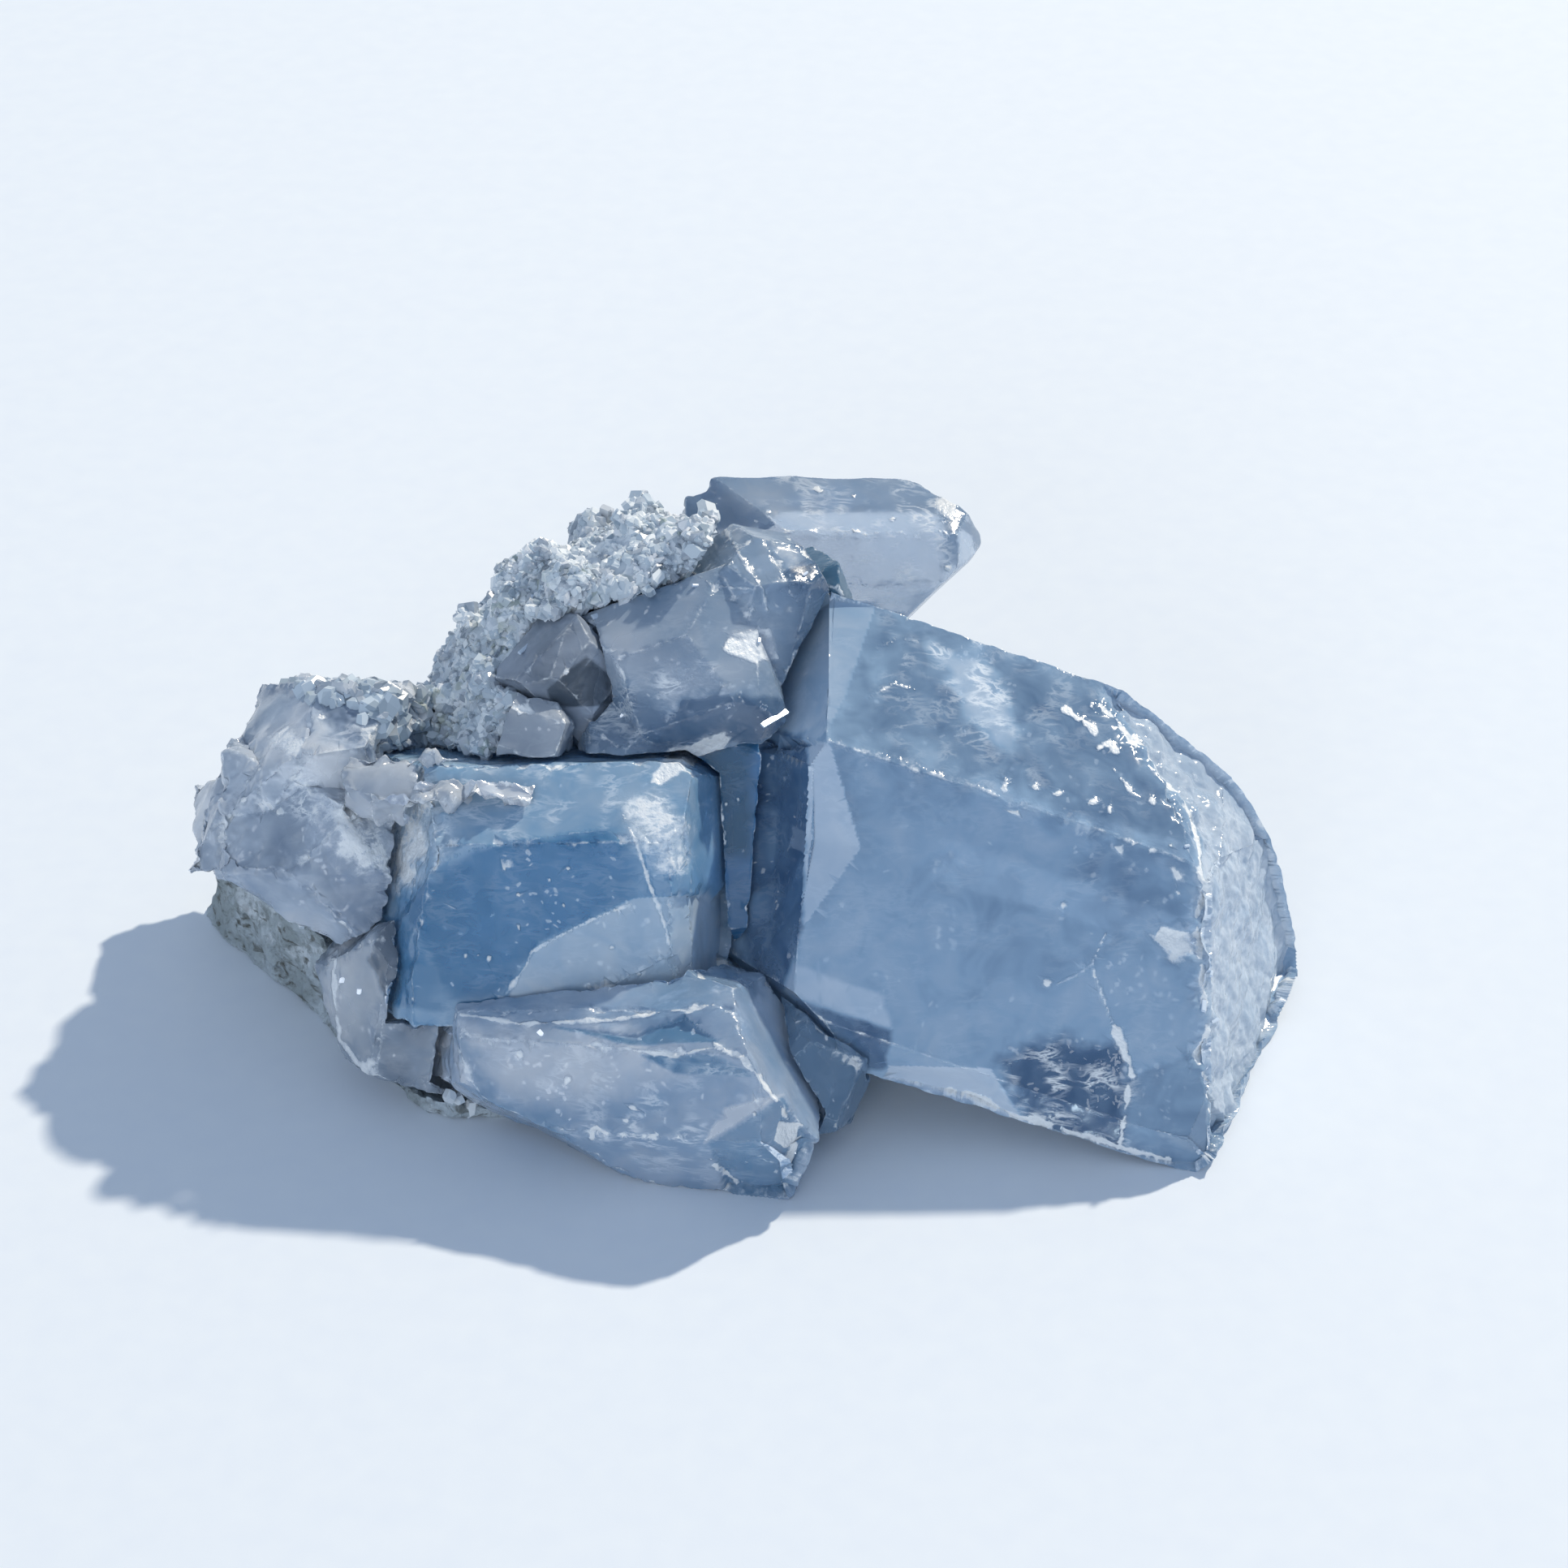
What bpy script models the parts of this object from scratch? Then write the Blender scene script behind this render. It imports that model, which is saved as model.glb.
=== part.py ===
"""Rough celestite: a hand-size cluster of blue crystals grown on a broken piece of grey-green marl.

Lengths are given in millimetres and angles in degrees. A direction is an azimuth and an elevation:
azimuth 0 faces the viewer (-Y), 90 faces right (+X), 180 faces away, and elevation 90 is straight up.
"""

import math
import random

import bmesh
import bpy
from mathutils import Vector, noise

MM = 0.001
GAP = 0.3
WELD = 0.002
WASTE = 120.0
SEED = 27

# The cubes that crystals and rock blocks are cut from, as shares of their longest reach
CRYSTAL_CUBE = 2.6
BLOCK_CUBE = 3.0
FLAT_ANGLE = 0.01

# Celestite is orthorhombic: the edges of its unit cell, in angstroms, along a, b and c
CELL = (8.359, 5.352, 6.866)

# Each crystal: its heart, the way its c face looks, the spin of its b axis away from level (right end
# up), its growth faces by Miller index with their distance from the heart, and its broken faces by
# direction and distance. The crystals are in the order in which they kept their shape as they met.
CRYSTALS = {
    "large_crystal": {
        "heart": (18.0, 0.0, 12.0),
        "c_face": (-1.0, 32.0),
        "spin": -18.0,
        "growth": {
            (0, 0, 1): 9.4, (0, 0, -1): 7.4, (1, 0, 1): 8.7, (-1, 0, 1): 15.9, (1, 0, -1): 4.6,
        },
        "broken": [
            (70, 12, 13.1), (82, 32, 11.9), (80, 50, 10.2), (25, 20, 14.9), (-120, -76, 7.9), (-50, -25, 18.2),
            (-61, 20, 16.8), (-70, 45, 16.9), (-100, 10, 20.0), (66, -44, 19.5), (0, -90, 12.0),
        ],
    },
    "left_crystal": {
        "heart": (-10.5, -5.0, 12.0),
        "c_face": (-5.0, 27.0),
        "spin": 4.0,
        "growth": {
            (0, 0, 1): 6.3, (0, 0, -1): 7.0, (1, 0, 1): 7.3, (1, 0, 0): 8.0, (0, 1, 1): 9.6,
            (0, -1, 1): 10.5, (2, 1, 0): 11.0, (-1, 0, 0): 7.0,
        },
        "broken": [(5, 8, 8.0), (75, 12, 9.3), (-70, 20, 9.5)],
    },
    "front_crystal": {
        "heart": (-6.0, -13.0, 6.0),
        "c_face": (-15.0, 22.0),
        "spin": 6.0,
        "growth": {
            (0, 0, 1): 5.6, (0, 0, -1): 3.6, (1, 0, 1): 5.5, (-1, 0, 1): 6.5, (0, 1, 1): 10.6,
            (0, -1, 1): 12.0,
        },
        "broken": [
            (90, 32, 8.2), (-75, 10, 10.8), (-60, 80, 5.2), (-100, -82, 5.9), (-35, -38, 6.8),
            (0, -90, 6.0), (85, -20, 11.2), (50, -5, 12.2), (150, 60, 6.0),
        ],
    },
    "corner_crystal": {
        "heart": (-19.0, -7.6, 5.7),
        "c_face": (-12.0, 10.0),
        "spin": 80.0,
        "growth": {
            (0, 0, 1): 4.3, (0, 0, -1): 5.0, (0, 1, 1): 5.8, (1, 0, 1): 4.4, (-1, 0, 1): 4.6,
            (2, 1, 0): 5.4, (2, -1, 0): 5.6, (-2, 1, 0): 5.2, (-2, -1, 0): 5.4,
        },
        "broken": [(-30, -55, 5.2), (40, 55, 5.6), (0, -90, 5.3)],
    },
    "cleft_crystal": {
        "heart": (-3.0, 1.0, 14.0),
        "c_face": (-6.0, 30.0),
        "spin": 8.0,
        "growth": {
            (0, 0, 1): 5.0, (0, 0, -1): 6.0, (1, 0, 1): 6.6, (-1, 0, 1): 8.5, (0, 1, 1): 8.0,
            (0, -1, 1): 7.0, (0, 1, 0): 7.0, (0, -1, 0): 5.0,
        },
        "broken": [(10, 62, 6.8)],
    },
    "foot_crystal": {
        "heart": (3.2, -12.8, 4.8),
        "c_face": (20.0, 30.0),
        "spin": -35.0,
        "growth": {
            (0, 0, 1): 3.2, (0, 0, -1): 5.0, (1, 0, 1): 3.6, (-1, 0, 1): 3.8, (0, 1, 1): 4.4,
            (0, -1, 1): 4.2, (0, 1, 0): 4.6, (0, -1, 0): 5.0,
        },
        "broken": [(20, -60, 4.2), (0, -90, 4.4), (-20, 62, 3.2), (-60, 60, 2.8)],
    },
    "back_crystal": {
        "heart": (7.0, 17.2, 21.0),
        "c_face": (14.0, 40.0),
        "spin": -8.0,
        "growth": {
            (0, 0, 1): 3.0, (0, 0, -1): 3.4, (1, 0, 1): 3.3, (-1, 0, 1): 3.6, (1, 0, -1): 3.8,
            (-1, 0, -1): 3.4, (0, 1, 1): 6.9, (0, 1, -1): 7.0, (2, 1, 0): 7.0, (-2, 1, 0): 6.8,
            (0, -1, 0): 10.5,
        },
        "broken": [(70, 20, 7.2), (60, -35, 5.2), (-30, 48, 5.2)],
    },
    "notch_crystal": {
        "heart": (4.4, 7.2, 23.7),
        "c_face": (20.0, 20.0),
        "spin": 15.0,
        "growth": {
            (0, 0, 1): 2.2, (0, 0, -1): 4.0, (1, 0, 1): 2.7, (0, 1, 1): 2.8, (0, -1, 1): 3.0,
            (-1, 0, 0): 5.0, (0, 1, 0): 2.6, (0, -1, 0): 3.0, (1, 0, 0): 2.6,
        },
        "broken": [(-40, 60, 2.9)],
    },
    "smoky_crystal": {
        "heart": (-10.0, 2.0, 23.0),
        "c_face": (35.0, 25.0),
        "spin": 30.0,
        "growth": {
            (0, 0, 1): 2.0, (0, 0, -1): 3.5, (1, 0, 1): 2.3, (-1, 0, 1): 2.8, (0, 1, 1): 2.5,
            (0, -1, 1): 2.4, (0, 1, 0): 2.6, (0, -1, 0): 2.8, (1, 0, 0): 2.4,
        },
        "broken": [(-40, 55, 2.4)],
    },
    "chip_crystal": {
        "heart": (-12.0, -1.2, 20.6),
        "c_face": (-10.0, 40.0),
        "spin": -12.0,
        "growth": {
            (0, 0, 1): 1.6, (0, 0, -1): 3.0, (1, 0, 1): 2.0, (-1, 0, 1): 2.1, (0, 1, 0): 1.9,
            (0, -1, 0): 1.8, (2, 1, 0): 2.2, (-2, 1, 0): 2.1,
        },
        "broken": [],
    },
    "ledge_flake": {
        "heart": (-17.4, -4.6, 19.0),
        "c_face": (-15.0, 76.0),
        "spin": 10.0,
        "growth": {
            (0, 0, 1): 0.8, (0, 0, -1): 1.6, (1, 0, 1): 2.0, (-1, 0, 1): 2.2, (0, 1, 0): 5.6,
            (0, -1, 0): 5.8, (2, 1, 0): 4.2, (-2, -1, 0): 3.8, (1, 0, 0): 1.7, (-1, 0, 0): 1.5,
        },
        "broken": [],
    },
}

PALE = ("front_crystal", "corner_crystal", "back_crystal", "west_cluster", "chip_crystal")

# Crystals that grew through each other are one solid: the twins are given one by one
CLUSTERS = {
    "west_cluster": [
        {
            "heart": (-26.5, 2.8, 15.6),
            "c_face": (-28.0, 24.0),
            "spin": 62.0,
            "growth": {
                (0, 0, 1): 4.8, (0, 0, -1): 5.0, (1, 0, 1): 5.0, (-1, 0, 1): 4.8, (0, 1, 1): 7.0,
                (2, 1, 0): 6.4, (-2, 1, 0): 6.2, (2, -1, 0): 5.4, (-2, -1, 0): 5.2,
            },
            "broken": [(-20, 75, 4.8), (-84, 44, 2.9), (170, 50, 4.9)],
        },
        {
            "heart": (-23.6, -2.2, 11.8),
            "c_face": (5.0, 18.0),
            "spin": -50.0,
            "growth": {
                (0, 0, 1): 4.4, (0, 0, -1): 6.0, (1, 0, 1): 4.8, (-1, 0, 1): 4.6, (0, 1, 1): 5.4,
                (0, -1, 1): 5.2, (2, 1, 0): 5.0, (2, -1, 0): 4.8, (-2, 1, 0): 5.0,
            },
            "broken": [(-50, -45, 4.6)],
        },
        {
            "heart": (-31.3, 5.4, 9.0),
            "c_face": (-50.0, 12.0),
            "spin": 20.0,
            "growth": {
                (0, 0, 1): 3.6, (0, 0, -1): 4.0, (1, 0, 1): 3.6, (-1, 0, 1): 3.2, (0, -1, 1): 4.6,
                (0, 1, 1): 4.4, (1, 0, 0): 3.4, (-1, 0, 0): 3.4,
            },
            "broken": [(-85, -35, 3.2), (-60, 52, 1.6), (-80, 30, 2.0), (175, 45, 3.0)],
        },
    ],
    "upper_cluster": [
        {
            "heart": (-3.0, 2.6, 22.4),
            "c_face": (-10.0, 34.0),
            "spin": 25.0,
            "growth": {
                (0, 0, 1): 4.0, (0, 0, -1): 5.0, (1, 0, 1): 4.4, (-1, 0, 1): 4.8, (0, 1, 1): 5.2,
                (0, -1, 1): 5.0, (0, 1, 0): 5.2, (0, -1, 0): 5.0, (1, 0, 0): 5.4,
            },
            "broken": [(30, 50, 4.4)],
        },
        {
            "heart": (1.0, 5.4, 24.4),
            "c_face": (18.0, 22.0),
            "spin": 70.0,
            "growth": {
                (0, 0, 1): 3.4, (0, 0, -1): 4.0, (1, 0, 1): 3.6, (-1, 0, 1): 3.8, (0, 1, 1): 4.6,
                (0, 1, 0): 5.2, (2, 1, 0): 4.4, (-2, 1, 0): 4.6,
            },
            "broken": [(20, 70, 4.4)],
        },
        {
            "heart": (-5.6, 0.0, 18.6),
            "c_face": (25.0, 30.0),
            "spin": -20.0,
            "growth": {
                (0, 0, 1): 3.2, (0, 0, -1): 4.0, (1, 0, 1): 3.4, (-1, 0, 1): 3.6, (0, 1, 1): 4.0,
                (0, -1, 1): 3.8, (0, 1, 0): 4.2, (0, -1, 0): 4.0,
            },
            "broken": [(-30, 65, 3.4)],
        },
    ],
}

# The marl: two rough blocks grown into one, each with a heart and its breaks by direction and distance.
# It is broken flat underneath.
HILL = (
    (-4.0, 6.5, 14.0),
    [
        (-5, 45, 8.6), (-80, 40, 11.2), (-95, 5, 13.5), (85, 30, 12.5), (180, 12, 9.0), (-140, 20, 12.0),
        (140, 25, 11.5), (0, 90, 13.8), (-60, 66, 11.9), (40, 45, 9.5), (80, 0, 16.0), (0, -90, 13.0),
        (170, 58, 12.3), (-30, 10, 12.0), (0, 0, 11.0), (45, 0, 12.5), (-130, 50, 12.0),
    ],
)
BASE = (
    (-12.0, 2.0, 4.0),
    [
        (-90, 8, 24.9), (-51, 2, 14.2), (0, -6, 15.0), (35, -4, 11.6), (80, 12, 21.0), (180, 14, 13.5),
        (-135, 18, 18.6), (130, 10, 20.0), (0, 90, 5.5), (-80, 62, 14.6), (0, -90, 5.0),
    ],
)
ROCK_VOXEL = 1.0
ROCK_ROUGHNESS = 0.75
ROCK_GRAIN = 3.6
ROCK_FACES = 2400
ROCK_WEAR = 0.5
ROCK_CLEARANCE = 1.3 * GAP
ROCK_PITTING = 0.7
ROCK_SWELL = 0.3

# The druse: the crust over the top and front of the rock, and the small crystals that stand on it
CRUST_THICKNESS = 2.2
CRUST_ROUGHNESS = 0.5
CRUST_FACES = 1500
CRUST_BREAKS = [(168, -52, -1.0), (77, -29, -5.6)]
SMALL_CRYSTALS = 60
SMALL_SIZE = (0.8, 1.6)
SMALL_SPREAD = 1.05
SMALL_CAP = 0.7
SMALL_SLOPE = 0.85
SMALL_POINT = 1.1
SMALL_END = 1.2
LEAST_LEAN = 0.05
FREE_STANDING = ("smoky_crystal", "chip_crystal", "notch_crystal")
CLEAR_OF_FREE_STANDING = 4.5


def toward(azimuth, elevation):
    """The unit vector of a direction."""
    level = math.cos(math.radians(elevation))
    turn = math.radians(azimuth)
    return Vector((math.sin(turn) * level, -math.cos(turn) * level, math.sin(math.radians(elevation))))


def crystal_axes(c_face, spin):
    """The a, b and c axes of a crystal, from the way its c face looks and the spin of its b axis."""
    c = toward(*c_face)
    right = toward(c_face[0] + 90, 0)
    rising = c.cross(right)
    angle = math.radians(spin)
    b = right * math.cos(angle) + rising * math.sin(angle)
    return c.cross(b), b, c


def growth_normal(index, axes):
    """The outward normal of a growth face, from its Miller index."""
    total = Vector()
    for count, edge, axis in zip(index, CELL, axes):
        total += axis * (count / edge)
    return total.normalized()


def cut(bm, point, normal):
    """Cut away what lies past a plane and close the cut."""
    geometry = bm.verts[:] + bm.edges[:] + bm.faces[:]
    sides = bmesh.ops.bisect_plane(bm, geom=geometry, plane_co=point, plane_no=normal, clear_outer=True)
    rim = [item for item in sides["geom_cut"] if isinstance(item, bmesh.types.BMEdge)]
    if rim:
        bmesh.ops.holes_fill(bm, edges=rim)


def crystal_mesh(spec, grow=0.0):
    """One crystal, cut from a cube by its growth faces and its broken faces."""
    heart = Vector(spec["heart"])
    axes = crystal_axes(spec["c_face"], spec["spin"])
    planes = [(growth_normal(index, axes), reach) for index, reach in spec["growth"].items()]
    planes += [(toward(azimuth, elevation), reach) for azimuth, elevation, reach in spec["broken"]]
    bm = bmesh.new()
    bmesh.ops.create_cube(bm, size=CRYSTAL_CUBE * max(reach for _, reach in planes))
    bmesh.ops.translate(bm, verts=bm.verts, vec=heart)
    for normal, reach in planes:
        cut(bm, heart + normal * (reach + grow), normal)
    bmesh.ops.dissolve_limit(bm, angle_limit=FLAT_ANGLE, verts=bm.verts, edges=bm.edges)
    return bm


def block_mesh(heart, breaks, grow):
    """A plain block of stone, cut from a cube by its breaks."""
    bm = bmesh.new()
    bmesh.ops.create_cube(bm, size=BLOCK_CUBE * max(reach for _, _, reach in breaks))
    bmesh.ops.translate(bm, verts=bm.verts, vec=heart)
    for azimuth, elevation, reach in breaks:
        way = toward(azimuth, elevation)
        cut(bm, Vector(heart) + way * (reach + grow), way)
    return bm


def add_object(name, bm, collection):
    """Put a mesh drawn in millimetres into the scene, in metres."""
    bmesh.ops.scale(bm, verts=bm.verts, vec=(MM, MM, MM))
    bmesh.ops.triangulate(bm, faces=bm.faces)
    bmesh.ops.recalc_face_normals(bm, faces=bm.faces)
    mesh = bpy.data.meshes.new(name)
    bm.to_mesh(mesh)
    bm.free()
    obj = bpy.data.objects.new(name, mesh)
    collection.objects.link(obj)
    return obj


def add_cutter(name, bm, cutters):
    """A wire-frame guide that cuts other pieces and isn't one itself."""
    obj = add_object(name, bm, cutters)
    obj.hide_render = True
    obj.display_type = "WIRE"
    return obj


def combine(obj, others, operation):
    """Cut the others out of a piece, or join them to it, and keep the result as its mesh."""
    for other in others:
        step = obj.modifiers.new(other.name, "BOOLEAN")
        step.operation = operation
        step.solver = "EXACT"
        step.object = other
        settle(obj)
    drop_crumbs(obj)


def trim(obj, heart, breaks, cutters):
    """Break a piece off flat along planes given by direction and distance."""
    waste = []
    for number, (azimuth, elevation, reach) in enumerate(breaks):
        way = toward(azimuth, elevation)
        bm = bmesh.new()
        bmesh.ops.create_cube(bm, size=WASTE)
        turn = way.to_track_quat("Z", "Y").to_matrix()
        bmesh.ops.rotate(bm, verts=bm.verts, matrix=turn)
        bmesh.ops.translate(bm, verts=bm.verts, vec=Vector(heart) + way * (reach + WASTE / 2))
        waste.append(add_cutter(f"{obj.name}_break_{number}", bm, cutters))
    combine(obj, waste, "DIFFERENCE")


def drop_crumbs(obj):
    """Keep only the largest connected body of a piece."""
    bm = bmesh.new()
    bm.from_mesh(obj.data)
    bmesh.ops.remove_doubles(bm, verts=bm.verts, dist=WELD * MM)
    bmesh.ops.dissolve_degenerate(bm, edges=bm.edges, dist=WELD * MM)
    bmesh.ops.triangulate(bm, faces=bm.faces)
    bodies = []
    left = set(bm.faces)
    while left:
        reached = [left.pop()]
        body = []
        while reached:
            face = reached.pop()
            body.append(face)
            for edge in face.edges:
                for other in edge.link_faces:
                    if other in left:
                        left.remove(other)
                        reached.append(other)
        bodies.append(body)
    bodies.sort(key=lambda body: sum(face.calc_area() for face in body))
    for body in bodies[:-1]:
        bmesh.ops.delete(bm, geom=body, context="FACES")
    bm.to_mesh(obj.data)
    bm.free()


def material(name, colour, roughness):
    """A plain stone or crystal finish."""
    finish = bpy.data.materials.new(name)
    finish.use_nodes = True
    shader = finish.node_tree.nodes["Principled BSDF"]
    shader.inputs["Base Color"].default_value = (*colour, 1.0)
    shader.inputs["Roughness"].default_value = roughness
    shader.inputs["Metallic"].default_value = 0.0
    return finish


def hill_surface(way):
    """Where a ray from the hill's heart leaves the crust."""
    heart, breaks = HILL
    reaches = []
    for azimuth, elevation, reach in breaks:
        lean = toward(azimuth, elevation).dot(way)
        if lean > LEAST_LEAN:
            reaches.append((reach + CRUST_THICKNESS) / lean)
    return Vector(heart) + way * min(reaches)


def small_crystals(cutters):
    """The small crystals that stand on the crust, spread evenly over its top and front."""
    rng = random.Random(SEED)
    golden = math.pi * (3 - math.sqrt(5))
    made = []
    for number in range(SMALL_CRYSTALS):
        height = 1 - SMALL_SPREAD * (number + 0.5) / SMALL_CRYSTALS
        ring = math.sqrt(1 - height * height)
        way = Vector((ring * math.cos(golden * number), ring * math.sin(golden * number), height))
        heart = hill_surface(way)
        size = rng.uniform(*SMALL_SIZE)
        spaces = [(heart - Vector(CRYSTALS[name]["heart"])).length for name in FREE_STANDING]
        if min(spaces) < CLEAR_OF_FREE_STANDING:
            continue
        spec = {
            "heart": heart,
            "c_face": (rng.uniform(-180, 180), rng.uniform(0, 70)),
            "spin": rng.uniform(0, 180),
            "growth": {
                (0, 0, 1): SMALL_CAP * size, (0, 0, -1): SMALL_CAP * size,
                (1, 0, 1): SMALL_SLOPE * size, (-1, 0, 1): SMALL_SLOPE * size,
                (0, 1, 1): SMALL_POINT * size, (0, -1, 1): SMALL_POINT * size,
                (0, 1, 0): SMALL_END * size, (0, -1, 0): SMALL_END * size, (1, 0, 0): size, (-1, 0, 0): size,
            },
            "broken": [],
        }
        made.append(add_cutter(f"small_crystal_{number:02d}", crystal_mesh(spec), cutters))
    return made


def rough_stone(name, blocks, grow, roughness, faces, collection):
    """Stone with a rough, angular surface: blocks joined by a fine remesh, then worn and pitted."""
    whole = bmesh.new()
    for heart, breaks in blocks:
        block = block_mesh(heart, breaks, grow)
        mesh = bpy.data.meshes.new(name)
        block.to_mesh(mesh)
        block.free()
        whole.from_mesh(mesh)
        bpy.data.meshes.remove(mesh)
    stone = add_object(name, whole, collection)
    joined = stone.modifiers.new("joined", "REMESH")
    joined.mode = "VOXEL"
    joined.voxel_size = ROCK_VOXEL * MM
    settle(stone)
    bm = bmesh.new()
    bm.from_mesh(stone.data)
    worn = {"factor": ROCK_WEAR, "use_axis_x": True, "use_axis_y": True, "use_axis_z": True}
    bmesh.ops.smooth_vert(bm, verts=bm.verts, **worn)
    for vert in bm.verts:
        spot = vert.co / (ROCK_GRAIN * MM)
        pits = noise.fractal(spot, 1.0, 2.0, 3) - ROCK_PITTING * noise.voronoi(spot)[0][0]
        vert.co += vert.normal * (pits + ROCK_SWELL) * roughness * MM
    bm.to_mesh(stone.data)
    thinned = stone.modifiers.new("thinned", "DECIMATE")
    thinned.ratio = min(1.0, faces / (2 * len(bm.faces)))
    bm.free()
    settle(stone)
    return stone


def settle(obj):
    """Make what the modifiers give the piece's own mesh."""
    graph = bpy.context.evaluated_depsgraph_get()
    result = bpy.data.meshes.new_from_object(obj.evaluated_get(graph))
    obj.modifiers.clear()
    obj.data = result


def swollen_copy(obj, amount, cutters):
    """A cutter of a piece's own shape, grown evenly along its normals."""
    bm = bmesh.new()
    bm.from_mesh(obj.data)
    bm.normal_update()
    for vert in bm.verts:
        vert.co = vert.co / MM + vert.normal * amount
    return add_cutter(f"{obj.name}_seat", bm, cutters)


def stand_on_origin(collection):
    """Move the whole cluster so that the origin is under the middle of its box."""
    corners = [vert.co for obj in collection.objects for vert in obj.data.vertices]
    low = [min(corner[axis] for corner in corners) for axis in range(3)]
    high = [max(corner[axis] for corner in corners) for axis in range(3)]
    shift = Vector((-(low[0] + high[0]) / 2, -(low[1] + high[1]) / 2, -low[2]))
    for obj in collection.objects:
        for vert in obj.data.vertices:
            vert.co += shift


def build():
    for old in list(bpy.data.objects):
        bpy.data.objects.remove(old)
    pieces = bpy.data.collections.new("rough_celestite")
    cutters = bpy.data.collections.new("cutters")
    bpy.context.scene.collection.children.link(pieces)
    bpy.context.scene.collection.children.link(cutters)

    celestite = material("celestite_blue", (0.16, 0.27, 0.45), 0.15)
    pale = material("celestite_pale", (0.42, 0.50, 0.66), 0.25)
    druse = material("celestite_druse", (0.45, 0.51, 0.60), 0.35)
    marl = material("marl", (0.17, 0.20, 0.19), 0.9)

    seats = []
    groups = {name: [spec] for name, spec in CRYSTALS.items()}
    groups.update(CLUSTERS)
    for name, specs in groups.items():
        piece = add_object(name, crystal_mesh(specs[0]), pieces)
        seat = add_cutter(f"{name}_seat", crystal_mesh(specs[0], GAP), cutters)
        for number, spec in enumerate(specs[1:]):
            twin = add_cutter(f"{name}_twin_{number}", crystal_mesh(spec), cutters)
            combine(piece, [twin], "UNION")
            twin_seat = add_cutter(f"{name}_twin_seat_{number}", crystal_mesh(spec, GAP), cutters)
            combine(seat, [twin_seat], "UNION")
        combine(piece, seats, "DIFFERENCE")
        piece.data.materials.clear()
        piece.data.materials.append(pale if name in PALE else celestite)
        seats.append(seat)

    rock = rough_stone("matrix_rock", [HILL, BASE], 0.0, ROCK_ROUGHNESS, ROCK_FACES, pieces)
    rock_seat = swollen_copy(rock, ROCK_CLEARANCE, cutters)
    trim(rock, (0, 0, 0), [(0, -90, 0.0)], cutters)
    combine(rock, seats, "DIFFERENCE")
    rock.data.materials.clear()
    rock.data.materials.append(marl)

    crust = rough_stone("druse_crust", [HILL], CRUST_THICKNESS, CRUST_ROUGHNESS, CRUST_FACES, pieces)
    combine(crust, small_crystals(cutters), "UNION")
    trim(crust, HILL[0], CRUST_BREAKS, cutters)
    combine(crust, seats + [rock_seat], "DIFFERENCE")
    crust.data.materials.clear()
    crust.data.materials.append(druse)
    stand_on_origin(pieces)


build()
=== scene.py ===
"""Rough celestite: the finish of a hand-size cluster of blue crystals on grey-green marl.

Lengths in the values below are in millimetres in the specimen's own frame: +X right, +Y away from the
viewer, +Z up, and the origin on the ground under the middle of the specimen. A direction is an azimuth and
an elevation in degrees: azimuth 0 faces the viewer, 90 faces right, and elevation 90 is straight up.
Marks that only one face has are placed by pixels of the photograph's frame, 1932 across. Each is laid on
the face that the pixel shows, and stays on it from every side.
"""

import math

import bmesh
import bpy
import numpy as np
from mathutils import Matrix, Vector, noise
from mathutils.bvhtree import BVHTree


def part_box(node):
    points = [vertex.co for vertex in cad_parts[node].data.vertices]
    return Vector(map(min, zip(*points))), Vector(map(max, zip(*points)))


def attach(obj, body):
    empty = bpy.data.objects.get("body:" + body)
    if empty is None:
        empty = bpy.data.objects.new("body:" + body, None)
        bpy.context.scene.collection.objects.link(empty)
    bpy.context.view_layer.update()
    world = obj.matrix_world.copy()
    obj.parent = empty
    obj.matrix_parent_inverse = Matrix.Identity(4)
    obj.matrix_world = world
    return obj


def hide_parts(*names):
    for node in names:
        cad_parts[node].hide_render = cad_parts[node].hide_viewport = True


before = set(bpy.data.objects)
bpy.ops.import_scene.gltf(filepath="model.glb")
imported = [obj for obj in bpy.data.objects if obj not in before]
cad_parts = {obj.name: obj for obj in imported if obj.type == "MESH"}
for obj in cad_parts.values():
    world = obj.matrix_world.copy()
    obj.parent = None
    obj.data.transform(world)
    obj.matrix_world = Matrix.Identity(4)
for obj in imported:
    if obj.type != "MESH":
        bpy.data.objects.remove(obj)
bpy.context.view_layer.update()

MM = 0.001
SEED = 41

# The view: the point that the camera looks at, how far off and how steeply it looks, and its lens
LOOK_AT = (2.69, 2.525, 14.0)
VIEW_DISTANCE = 240.0
VIEW_ELEVATION = 36.0
LENS = 89.44
SENSOR_WIDTH = 36.0
PHOTO_WIDTH = 1932
FOCAL = LENS / SENSOR_WIDTH * PHOTO_WIDTH
PIXEL = VIEW_DISTANCE / FOCAL

# The light: a key from the right and behind, a wide soft fill from the front, a pale blue sky all round
KEY_FROM = (136.0, 44.0)
KEY_SIZE = 90.0
KEY_POWER = 56.0
KEY_COLOUR = (1.0, 0.90, 0.74)
FILL_FROM = (-18.0, 18.0)
FILL_SIZE = 1300.0
FILL_POWER = 12.0
FILL_COLOUR = (0.94, 0.98, 1.0)
LAMP_DISTANCE = 2500.0
SKY = (0.29, 0.365, 0.48)
FLOOR_WIDTH = 4000.0


def srgb(red, green, blue):
    """A colour as a screen shows it, from 0 to 255, as the linear colour that light works with."""
    def linear(part):
        part /= 255
        return part / 12.92 if part <= 0.04045 else ((part + 0.055) / 1.055) ** 2.4
    return (linear(red), linear(green), linear(blue), 1.0)


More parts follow.
